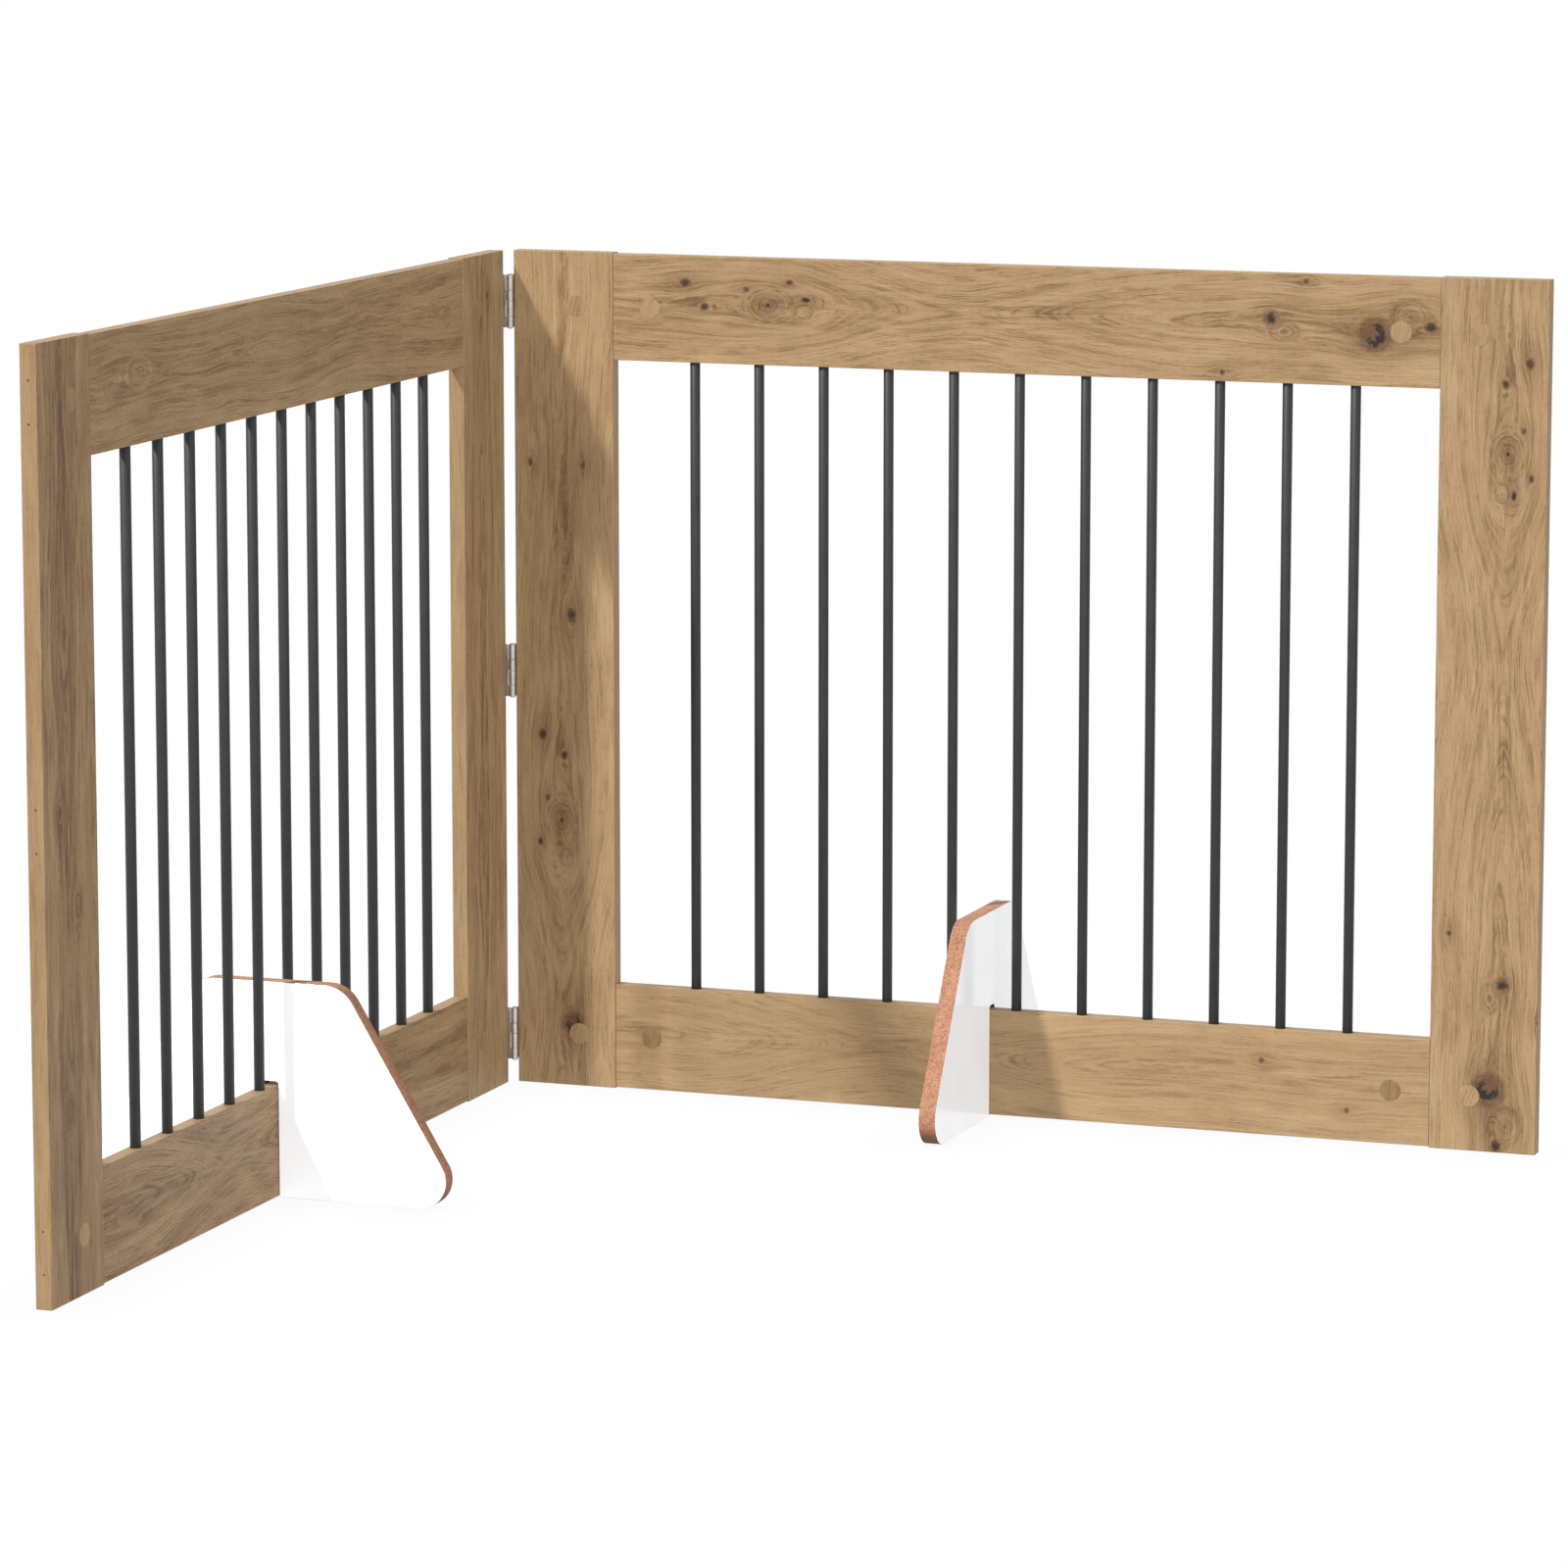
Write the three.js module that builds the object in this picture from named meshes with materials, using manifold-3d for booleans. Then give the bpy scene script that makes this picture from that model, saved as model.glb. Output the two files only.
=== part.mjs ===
// Folding pet gate: two identical framed panels, three butt hinges and two slot-on feet.
//
// Millimetres, +Z up. The origin is under the middle of the whole gate, on the floor.
// The panels stand at a right angle: the right one runs along +X, the left one along -Y,
// and both inside faces look into the corner between them. Each panel is built in its own
// frame: x runs from its left end to its right end as seen from the inside, y is 0 on the
// inside face and grows towards the outside face, and z is the height above the floor.

import * as THREE from "three";
import { mergeVertices } from "three/addons/utils/BufferGeometryUtils.js";
import Module from "manifold-3d";

const wasm = await Module();
wasm.setup();

// ---- driving dimensions ---------------------------------------------------------------

const PANEL_WIDTH = 1000;
const PANEL_HEIGHT = 800;
const STILE_WIDTH = 100;
const STILE_THICKNESS = 15;
const RAIL_HEIGHT = 100;
const RAIL_THICKNESS = 14;
const RAIL_INSET = 1; // rails stop this far inside the stiles' top and bottom ends
const GAP = 0.3; // between pieces that touch on the real object

const ROD_COUNT = 11;
const ROD_PITCH = 64;
const ROD_RADIUS = 4.75;
const ROD_SEAT = 12; // length of rod inside each rail
const SOCKET_DEPTH = 12.5;
const SOCKET_RADIUS = 5.3;

const CAM_RADIUS = 7.5; // bore for the cam that tightens a corner joint
const CAM_BORE_END = 12.5; // depth of that bore's floor below the stile's inside face
const CAM_DISTANCE = 37; // from the joint line to the cam's centre
const BOLT_BORE_RADIUS = 4; // bore for the bolt between a joint's two cams

const FOOT_THICKNESS = 16;
const FOOT_HEIGHT = 194;
const FOOT_HALF_BASE = 186.5; // to the sharp corner, before rounding
const FOOT_SIDE_SLOPE = 0.6; // how far a side leans in for each unit of height
const FOOT_BASE_RADIUS = 25;
const FOOT_TOP_RADIUS = 30;
const FOOT_SLOT_PLAY = 0.5; // on each side of the rail
const FOOT_SLOT_HEADROOM = 3.5; // above the rail
const FOOT_SLOT_RADIUS = 3;
const FOOT_AFTER_ROD = 5; // the foot stands halfway between this rod and the next

const HINGE_HEIGHTS = { top: 752, middle: 400, bottom: 48 };
const HINGE_LENGTH = 50;
const EDGE_GAP = 1.6; // from the plane through the pin to a stile's edge
const FACE_OFFSET = 5.9; // from the pin's axis to the plane of the inside faces
const LEAF_NEAR = 0.3; // from the plane through the pin to a leaf's near face
const LEAF_FAR = 1.3; // and to the face that lies against the stile
const LEAF_REACH = FACE_OFFSET + 14;
const LEAF_CORNER_RADIUS = 2;
const KNUCKLE_RADIUS = 3.4;
const KNUCKLE_BORE = 1.8;
const RIGHT_KNUCKLES = [[0, 14.5], [25, 39]]; // measured down from the hinge's top
const LEFT_KNUCKLES = [[14.5, 25], [39, 50]];
const PIN_RADIUS = 1.5;
const PIN_HEAD_RADIUS = 2.6;
const PIN_HEAD_THICKNESS = 1;

const SCREW_RADIUS = 1.2;
const SCREW_HEAD_RADIUS = 2.6;
const SCREW_TOP = 0.45; // head's face, below the plane through the pin
const SCREW_RIM = 0.2;
const SCREW_LENGTH = 15;
const SCREW_POINT = 3;
const SCREW_SPREAD = 18; // each screw's distance above or below its hinge's middle
const SCREW_HOLE_RADIUS = 2;
const COUNTERSINK_GAP = 0.4;
const PILOT_RADIUS = 1.3; // free ends are drilled for one more set of hinges
const PILOT_DEPTH = 14;

const FINE_SIDES = 16; // facets round a full turn
const MEDIUM_SIDES = 12;
const COARSE_SIDES = 10;
const FOOT_ARC_STEPS = 6; // facets on each rounded corner are twice these
const LEAF_ARC_STEPS = 2;
const OVERSHOOT = 1; // how far a cutting tool starts outside the surface it enters

// ---- derived dimensions ---------------------------------------------------------------

const MID_THICKNESS = STILE_THICKNESS / 2;
const RAIL_FACE = (STILE_THICKNESS - RAIL_THICKNESS) / 2;
const BOTTOM_RAIL_BASE = RAIL_INSET;
const TOP_RAIL_BASE = PANEL_HEIGHT - RAIL_INSET - RAIL_HEIGHT;
const JOINT_HEIGHTS = [BOTTOM_RAIL_BASE + RAIL_HEIGHT / 2, TOP_RAIL_BASE + RAIL_HEIGHT / 2];
const FIRST_ROD_X = (PANEL_WIDTH - (ROD_COUNT - 1) * ROD_PITCH) / 2;
const FOOT_X = FIRST_ROD_X + (FOOT_AFTER_ROD - 0.5) * ROD_PITCH;

// the widest point of a foot is on its rounded base corner
const BASE_CORNER_ANGLE = Math.atan2(1, FOOT_SIDE_SLOPE);
const BASE_TANGENT = FOOT_BASE_RADIUS / Math.tan(BASE_CORNER_ANGLE / 2);
const FOOT_HALF_LENGTH = FOOT_HALF_BASE - BASE_TANGENT + FOOT_BASE_RADIUS;

// the hinge axis, seen from the middle of the gate's plan
const REACH_ALONG = EDGE_GAP + PANEL_WIDTH;
const REACH_BEHIND = FOOT_HALF_LENGTH + FACE_OFFSET + MID_THICKNESS;
const AXIS_OFFSET = (REACH_ALONG - REACH_BEHIND) / 2;

// ---- materials ------------------------------------------------------------------------

const makeMaterial = (color, roughness, metalness) =>
  new THREE.MeshStandardMaterial({ color, roughness, metalness, flatShading: true });

const OAK = makeMaterial(0xa98c64, 0.6, 0);
const BLACK_STEEL = makeMaterial(0x35383a, 0.5, 0.3);
const WHITE_BOARD = makeMaterial(0xf1f2f0, 0.4, 0);
const ZINC = makeMaterial(0xb9bbbd, 0.3, 0.9);

// ---- solids and booleans --------------------------------------------------------------

const X_AXIS = new THREE.Vector3(1, 0, 0);
const Y_AXIS = new THREE.Vector3(0, 1, 0);
const Z_AXIS = new THREE.Vector3(0, 0, 1);

function toSolid(geometry) {
  const bare = geometry.clone();
  bare.deleteAttribute("normal");
  bare.deleteAttribute("uv");
  const merged = mergeVertices(bare, 1e-5);
  return new wasm.Manifold(new wasm.Mesh({
    numProp: 3,
    vertProperties: new Float32Array(merged.attributes.position.array),
    triVerts: new Uint32Array(merged.index.array),
  }));
}

function toGeometry(solid) {
  const mesh = solid.getMesh();
  const geometry = new THREE.BufferGeometry();
  geometry.setAttribute("position", new THREE.BufferAttribute(mesh.vertProperties, 3));
  geometry.setIndex(new THREE.BufferAttribute(mesh.triVerts, 1));
  geometry.computeVertexNormals();
  return geometry;
}

function cut(body, tools) {
  const result = tools.reduce((solid, tool) => solid.subtract(toSolid(tool)), toSolid(body));
  return toGeometry(result);
}

function block(low, high) {
  const [x0, y0, z0] = low;
  const [x1, y1, z1] = high;
  const box = new THREE.BoxGeometry(x1 - x0, y1 - y0, z1 - z0);
  return box.translate((x0 + x1) / 2, (y0 + y1) / 2, (z0 + z1) / 2);
}

// a cutting cylinder that enters the surface at `mouth` and goes `depth` along `direction`
function drill(mouth, direction, radius, depth, sides) {
  const bit = new THREE.CylinderGeometry(radius, radius, depth + OVERSHOOT, sides);
  bit.translate(0, (depth - OVERSHOOT) / 2, 0);
  bit.applyQuaternion(new THREE.Quaternion().setFromUnitVectors(Y_AXIS, direction));
  return bit.translate(...mouth);
}

function uprightCylinder(radius, low, high, sides) {
  const cylinder = new THREE.CylinderGeometry(radius, radius, high - low, sides);
  cylinder.rotateX(Math.PI / 2);
  return cylinder.translate(0, 0, (low + high) / 2);
}

// turns an outline of [radius, height] points about +Z
function turned(profile, sides) {
  const points = profile.map(([radius, height]) => new THREE.Vector2(radius, height));
  const lathe = new THREE.LatheGeometry(points, sides);
  return lathe.rotateX(Math.PI / 2);
}

// a closed outline through corners of [x, y, radius], each rounded with a true arc
function roundedOutline(corners) {
  const shape = new THREE.Shape();
  corners.forEach(([x, y, radius], i) => {
    const corner = new THREE.Vector2(x, y);
    const before = new THREE.Vector2(...corners.at(i - 1)).sub(corner).normalize();
    const after = new THREE.Vector2(...corners[(i + 1) % corners.length]).sub(corner).normalize();
    const half = Math.acos(before.dot(after)) / 2;
    const start = corner.clone().addScaledVector(before, radius / Math.tan(half));
    if (i === 0) shape.moveTo(start.x, start.y);
    else shape.lineTo(start.x, start.y);
    if (radius === 0) return;
    const inward = before.clone().add(after).normalize();
    const centre = corner.clone().addScaledVector(inward, radius / Math.sin(half));
    const end = corner.clone().addScaledVector(after, radius / Math.tan(half));
    const from = start.sub(centre).angle();
    const to = end.sub(centre).angle();
    shape.absarc(centre.x, centre.y, radius, from, to, before.cross(after) > 0);
  });
  shape.closePath();
  return shape;
}

// a plate from an outline in (y, z), running from x = 0 to the given thickness
function plateAlongX(outline, thickness, curveSegments) {
  const options = { depth: thickness, bevelEnabled: false, curveSegments };
  const plate = new THREE.ExtrudeGeometry(outline, options);
  return plate.applyMatrix4(new THREE.Matrix4().makeBasis(Y_AXIS, Z_AXIS, X_AXIS));
}

function addMesh(group, name, geometry, material) {
  const mesh = new THREE.Mesh(geometry, material);
  mesh.name = name;
  group.add(mesh);
  return mesh;
}

// ---- a panel's boards -----------------------------------------------------------------

const screwHeights = Object.values(HINGE_HEIGHTS).flatMap((height) =>
  [height - SCREW_SPREAD, height + SCREW_SPREAD]);

// `outerX` is the stile's outer edge and `inward` points from there into the panel
function makeStile(outerX, inward, hingeSide) {
  const sign = inward.x;
  const innerX = outerX + sign * STILE_WIDTH;
  const outward = inward.clone().negate();
  const low = Math.min(outerX, innerX);
  const board = block([low, 0, 0], [low + STILE_WIDTH, STILE_THICKNESS, PANEL_HEIGHT]);
  const tools = [];
  for (const z of JOINT_HEIGHTS) {
    const camX = innerX - sign * CAM_DISTANCE;
    tools.push(drill([camX, 0, z], Y_AXIS, CAM_RADIUS, CAM_BORE_END, FINE_SIDES));
    const mouth = [innerX, MID_THICKNESS, z];
    tools.push(drill(mouth, outward, BOLT_BORE_RADIUS, CAM_DISTANCE, COARSE_SIDES));
  }
  const radius = hingeSide ? SCREW_HOLE_RADIUS : PILOT_RADIUS;
  const depth = hingeSide ? SCREW_LENGTH : PILOT_DEPTH;
  for (const z of screwHeights) {
    tools.push(drill([outerX, MID_THICKNESS, z], inward, radius, depth, COARSE_SIDES));
  }
  return cut(board, tools);
}

// `rodEdge` is the height of the edge that the rods enter and `intoRail` points into it
function makeRail(base, rodEdge, intoRail) {
  const x0 = STILE_WIDTH + GAP;
  const x1 = PANEL_WIDTH - STILE_WIDTH - GAP;
  const board = block([x0, RAIL_FACE, base], [x1, RAIL_FACE + RAIL_THICKNESS, base + RAIL_HEIGHT]);
  const z = base + RAIL_HEIGHT / 2;
  const tools = [];
  for (const [end, inward] of [[x0, X_AXIS], [x1, X_AXIS.clone().negate()]]) {
    const camX = end + inward.x * CAM_DISTANCE;
    const camDepth = CAM_BORE_END - RAIL_FACE;
    tools.push(drill([camX, RAIL_FACE, z], Y_AXIS, CAM_RADIUS, camDepth, FINE_SIDES));
    const mouth = [end, MID_THICKNESS, z];
    tools.push(drill(mouth, inward, BOLT_BORE_RADIUS, CAM_DISTANCE, COARSE_SIDES));
  }
  for (let i = 0; i < ROD_COUNT; i += 1) {
    const mouth = [FIRST_ROD_X + i * ROD_PITCH, MID_THICKNESS, rodEdge];
    tools.push(drill(mouth, intoRail, SOCKET_RADIUS, SOCKET_DEPTH, MEDIUM_SIDES));
  }
  return cut(board, tools);
}

function makeRod() {
  const low = BOTTOM_RAIL_BASE + RAIL_HEIGHT - ROD_SEAT;
  return uprightCylinder(ROD_RADIUS, low, TOP_RAIL_BASE + ROD_SEAT, FINE_SIDES);
}

// a trapezoid with rounded corners, slotted from below to straddle the bottom rail
function makeFoot() {
  const halfTop = FOOT_HALF_BASE - FOOT_SIDE_SLOPE * FOOT_HEIGHT;
  const halfSlot = RAIL_THICKNESS / 2 + FOOT_SLOT_PLAY;
  const slotTop = BOTTOM_RAIL_BASE + RAIL_HEIGHT + FOOT_SLOT_HEADROOM;
  const outline = roundedOutline([
    [-FOOT_HALF_BASE, 0, FOOT_BASE_RADIUS],
    [-halfSlot, 0, 0],
    [-halfSlot, slotTop, FOOT_SLOT_RADIUS],
    [halfSlot, slotTop, FOOT_SLOT_RADIUS],
    [halfSlot, 0, 0],
    [FOOT_HALF_BASE, 0, FOOT_BASE_RADIUS],
    [halfTop, FOOT_HEIGHT, FOOT_TOP_RADIUS],
    [-halfTop, FOOT_HEIGHT, FOOT_TOP_RADIUS],
  ]);
  const plate = plateAlongX(outline, FOOT_THICKNESS, FOOT_ARC_STEPS);
  return plate.translate(-FOOT_THICKNESS / 2, 0, 0);
}

function makePanel(side, hingeAtLeftEnd) {
  const panel = new THREE.Group();
  const up = Z_AXIS;
  const down = Z_AXIS.clone().negate();
  const leftEnd = hingeAtLeftEnd ? "hinge_stile" : "outer_stile";
  const rightEnd = hingeAtLeftEnd ? "outer_stile" : "hinge_stile";
  const leftStile = makeStile(0, X_AXIS, hingeAtLeftEnd);
  const rightStile = makeStile(PANEL_WIDTH, X_AXIS.clone().negate(), !hingeAtLeftEnd);
  const topRail = makeRail(TOP_RAIL_BASE, TOP_RAIL_BASE, up);
  const bottomRail = makeRail(BOTTOM_RAIL_BASE, BOTTOM_RAIL_BASE + RAIL_HEIGHT, down);
  addMesh(panel, `${side}_${leftEnd}`, leftStile, OAK);
  addMesh(panel, `${side}_${rightEnd}`, rightStile, OAK);
  addMesh(panel, `${side}_top_rail`, topRail, OAK);
  addMesh(panel, `${side}_bottom_rail`, bottomRail, OAK);
  for (let i = 0; i < ROD_COUNT; i += 1) {
    const name = `${side}_rod_${String(i + 1).padStart(2, "0")}`;
    const rod = addMesh(panel, name, makeRod(), BLACK_STEEL);
    rod.position.set(FIRST_ROD_X + i * ROD_PITCH, MID_THICKNESS, 0);
  }
  const foot = addMesh(panel, `${side}_foot`, makeFoot(), WHITE_BOARD);
  foot.position.set(FOOT_X, MID_THICKNESS, 0);
  return panel;
}

// ---- hinges ---------------------------------------------------------------------------
// A hinge is built about the Z axis with its middle at height 0. A leaf reaches along +y
// with its faces at x = sign * LEAF_NEAR and x = sign * LEAF_FAR. The stile is beyond it.

function makeLeaf(sign, knuckles) {
  const top = HINGE_LENGTH / 2;
  const clearOfBarrel = KNUCKLE_RADIUS + GAP;
  const outline = roundedOutline([
    [clearOfBarrel, -top, 0],
    [LEAF_REACH, -top, LEAF_CORNER_RADIUS],
    [LEAF_REACH, top, LEAF_CORNER_RADIUS],
    [clearOfBarrel, top, 0],
  ]);
  const thickness = LEAF_FAR - LEAF_NEAR;
  const nearX = sign > 0 ? LEAF_NEAR : -LEAF_FAR;
  let leaf = toSolid(plateAlongX(outline, thickness, LEAF_ARC_STEPS).translate(nearX, 0, 0));
  for (const [from, to] of knuckles) {
    const low = top - to + GAP / 2;
    const high = top - from - GAP / 2;
    const strap = block([nearX, 0, low], [nearX + thickness, clearOfBarrel + OVERSHOOT, high]);
    const knuckle = uprightCylinder(KNUCKLE_RADIUS, low, high, FINE_SIDES);
    leaf = leaf.add(toSolid(strap)).add(toSolid(knuckle));
  }
  const tools = [uprightCylinder(KNUCKLE_BORE, -top - OVERSHOOT, top + OVERSHOOT, MEDIUM_SIDES)];
  for (const z of [-SCREW_SPREAD, SCREW_SPREAD]) {
    const countersink = makeCountersink();
    countersink.rotateY((sign * Math.PI) / 2);
    tools.push(countersink.translate(0, FACE_OFFSET + MID_THICKNESS, z));
  }
  return toGeometry(tools.reduce((solid, tool) => solid.subtract(toSolid(tool)), leaf));
}

// a 45 degree cone about +Z that stays COUNTERSINK_GAP outside the screw's head
function makeCountersink() {
  const apex = SCREW_TOP + SCREW_HEAD_RADIUS + COUNTERSINK_GAP;
  return turned([[0, 0], [apex, 0], [SCREW_RADIUS, apex - SCREW_RADIUS], [0, apex - SCREW_RADIUS]],
    MEDIUM_SIDES);
}

function makePin() {
  const end = HINGE_LENGTH / 2 + GAP;
  const tip = end + PIN_HEAD_THICKNESS;
  return turned([
    [0, -tip], [PIN_HEAD_RADIUS, -tip], [PIN_HEAD_RADIUS, -end], [PIN_RADIUS, -end],
    [PIN_RADIUS, end], [PIN_HEAD_RADIUS, end], [PIN_HEAD_RADIUS, tip], [0, tip],
  ], MEDIUM_SIDES);
}

// a countersunk wood screw about +Z, head first
function makeScrew() {
  const coneEnd = SCREW_TOP + SCREW_RIM + SCREW_HEAD_RADIUS - SCREW_RADIUS;
  return turned([
    [0, SCREW_TOP],
    [SCREW_HEAD_RADIUS, SCREW_TOP],
    [SCREW_HEAD_RADIUS, SCREW_TOP + SCREW_RIM],
    [SCREW_RADIUS, coneEnd],
    [SCREW_RADIUS, SCREW_LENGTH - SCREW_POINT],
    [0, SCREW_LENGTH],
  ], COARSE_SIDES);
}

// one leaf and its two screws, in the leaf's own frame
function makeHingeHalf(name, side, sign, knuckles) {
  const half = new THREE.Group();
  addMesh(half, `${name}_${side}_leaf`, makeLeaf(sign, knuckles), ZINC);
  for (const [label, z] of [["upper", SCREW_SPREAD], ["lower", -SCREW_SPREAD]]) {
    const screw = makeScrew().rotateY((sign * Math.PI) / 2);
    const mesh = addMesh(half, `${name}_${side}_${label}_screw`, screw, ZINC);
    mesh.position.set(0, FACE_OFFSET + MID_THICKNESS, z);
  }
  return half;
}

function makeHinge(label) {
  const name = `${label}_hinge`;
  const hinge = new THREE.Group();
  hinge.add(makeHingeHalf(name, "right", 1, RIGHT_KNUCKLES));
  const leftHalf = makeHingeHalf(name, "left", -1, LEFT_KNUCKLES);
  leftHalf.rotation.z = Math.PI / 2;
  hinge.add(leftHalf);
  addMesh(hinge, `${name}_pin`, makePin(), ZINC);
  return hinge;
}

// ---- the gate -------------------------------------------------------------------------

function makeGate() {
  const gate = new THREE.Group();
  const aboutAxis = new THREE.Group();
  aboutAxis.position.set(-AXIS_OFFSET, AXIS_OFFSET, 0);

  const rightPanel = makePanel("right", true);
  rightPanel.position.set(EDGE_GAP, FACE_OFFSET, 0);
  aboutAxis.add(rightPanel);

  const leftPanel = makePanel("left", false);
  leftPanel.position.set(-FACE_OFFSET, -EDGE_GAP - PANEL_WIDTH, 0);
  leftPanel.rotation.z = Math.PI / 2;
  aboutAxis.add(leftPanel);

  for (const [label, height] of Object.entries(HINGE_HEIGHTS)) {
    const hinge = makeHinge(label);
    hinge.position.z = height;
    aboutAxis.add(hinge);
  }
  gate.add(aboutAxis);
  return gate;
}

const gate = makeGate();

export default gate;
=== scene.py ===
"""Pet gate: two hinged oak-look panels with black bars and two white feet."""
import math
import bmesh
import bpy
from mathutils import Matrix, Vector


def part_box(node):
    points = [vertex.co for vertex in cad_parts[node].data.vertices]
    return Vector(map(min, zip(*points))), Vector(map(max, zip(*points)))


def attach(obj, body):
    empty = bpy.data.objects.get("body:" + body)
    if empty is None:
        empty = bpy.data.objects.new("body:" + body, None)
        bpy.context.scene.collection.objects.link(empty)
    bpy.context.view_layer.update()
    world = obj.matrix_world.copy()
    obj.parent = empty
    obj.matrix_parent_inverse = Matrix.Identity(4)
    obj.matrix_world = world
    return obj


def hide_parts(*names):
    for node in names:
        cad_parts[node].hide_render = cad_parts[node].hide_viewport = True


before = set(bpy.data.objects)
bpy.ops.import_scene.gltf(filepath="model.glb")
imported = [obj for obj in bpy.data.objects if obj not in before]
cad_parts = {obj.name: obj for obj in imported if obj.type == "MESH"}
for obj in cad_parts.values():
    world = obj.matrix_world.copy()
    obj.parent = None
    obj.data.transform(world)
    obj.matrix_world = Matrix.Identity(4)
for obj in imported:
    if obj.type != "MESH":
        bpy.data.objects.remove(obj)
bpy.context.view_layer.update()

# ---- settings: metres unless a name says MM --------------------------------------------

MM = 0.001
SIDES = ("right", "left")
ROD_COUNT = 11
PANEL_LENGTH_MM = 1000
STILE_WIDTH_MM = 100
BOARD_MIDDLE_MM = 7.5
RAIL_FACE_MM = 0.5

BOARD_EDGE_RADIUS = 0.6 * MM
BOARD_EDGE_STEPS = 3
FOOT_EDGE_MM = 0.35
ROD_SIDES = 48
ROD_CHAMFER = 0.4 * MM
FLAT_COSINE = 0.999  # a face this close to an axis is one of the flat sides

CAM_DISTANCE_MM = 37
CAM_HEIGHTS_MM = (51, 749)
CAM_RADIUS_MM = 7.2
CAM_LOW_MM = 0.9
CAM_HIGH_MM = 12.2
CAP_RADIUS_MM = 10
CAP_HEIGHT_MM = 0.2
CAP_GAP_MM = 0.03
BOLT_RADIUS_MM = 3.3
CAM_BORE_RADIUS_MM = 7.5
CAM_BORE_END_MM = 12.5
BOLT_BORE_MM = 4
HINGE_HEIGHTS_MM = (48, 400, 752)
SCREW_SPREAD_MM = 18
SCREW_HOLE_MM = 1.9
SCREW_HOLE_DEPTH_MM = 15
PILOT_MM = 1.3
PILOT_DEPTH_MM = 14
SOCKET_RADIUS_MM = 5.1
SOCKET_DEPTH_MM = 12.5
ROD_PITCH_MM = 64
DRILL_SIDES = 32

HINGE_LENGTH_MM = 50
HINGE_SIDES = 40
KNUCKLE_RADIUS_MM = 3.4
KNUCKLE_GAP_MM = 0.3
RIGHT_KNUCKLES_MM = ((0, 14.5), (25, 39))
LEFT_KNUCKLES_MM = ((14.5, 25), (39, 50))
LEAF_NEAR_MM = 0.3
LEAF_FAR_MM = 1.3
LEAF_REACH_MM = 19.9
LEAF_CORNER_MM = 2
LEAF_ARC_STEPS = 8
PIN_RADIUS_MM = 1.5
PIN_BORE_MM = 1.8
PIN_HEAD_MM = 2.6
PIN_PLAY_MM = 0.3
SCREW_LINE_MM = 13.4
SCREW_TOP_MM = 0.45
SCREW_HEAD_MM = 2.6
SCREW_SHANK_MM = 1.2

FOOT_HALF_BASE_MM = 186.5
FOOT_SIDE_SLOPE = 0.6
FOOT_BASE_RADIUS_MM = 25
FOOT_TOP_RADIUS_MM = 30
FOOT_HALF_SLOT_MM = 7.5
FOOT_SLOT_TOP_MM = 104.5
FOOT_SLOT_RADIUS_MM = 3
FOOT_ARC_STEPS = 24

CAMERA_PLACE = (2.00641, -5.53673, 1.31488)
CAMERA_YAW = 19.806
CAMERA_PITCH_DOWN = 9.076
CAMERA_LENS_MM = 156.17
CAMERA_SENSOR_MM = 36

SKY_STRENGTH = 0.38
SKY_REFLECTED = 0.9
KEY_TRAVEL = (0.78, 1.0, -1.4)
KEY_ENERGY = 4.6
KEY_ANGLE = 4.5
# travel and energy of each soft fill, which casts no shadow
FILLS = (((-2.3, 2.6, -0.8), 3.3), ((0.6, -1.0, -0.5), 2.2), ((0.3, 0.2, 1.0), 0.8))
FILL_ANGLE = 60.0
STUDIO_RADIUS = 40
DOME_RADIUS = 0.95 * STUDIO_RADIUS
FLOOR_DROP = 0.2 * MM
STUDIO_WHITE = 1.0
# the floor's painted contact shadow: how far it reaches, and its level where it is darkest
CONTACT_REACH = 0.08
CONTACT_SHADE = 0.93

# stands a flat plate up: its outline from x and y to y and z, its thickness from z to x
STAND_UP = Matrix(((0, 0, 1, 0), (1, 0, 0, 0), (0, 1, 0, 0), (0, 0, 0, 1)))

# ---- node helpers ----------------------------------------------------------------------


def linear(red, green, blue):
    """A colour given as it looks on a screen, 0 to 255, as Blender's linear RGBA."""
    def channel(value):
        value /= 255
        if value <= 0.04045:
            return value / 12.92
        return ((value + 0.055) / 1.055) ** 2.4
    return (channel(red), channel(green), channel(blue), 1.0)


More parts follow.
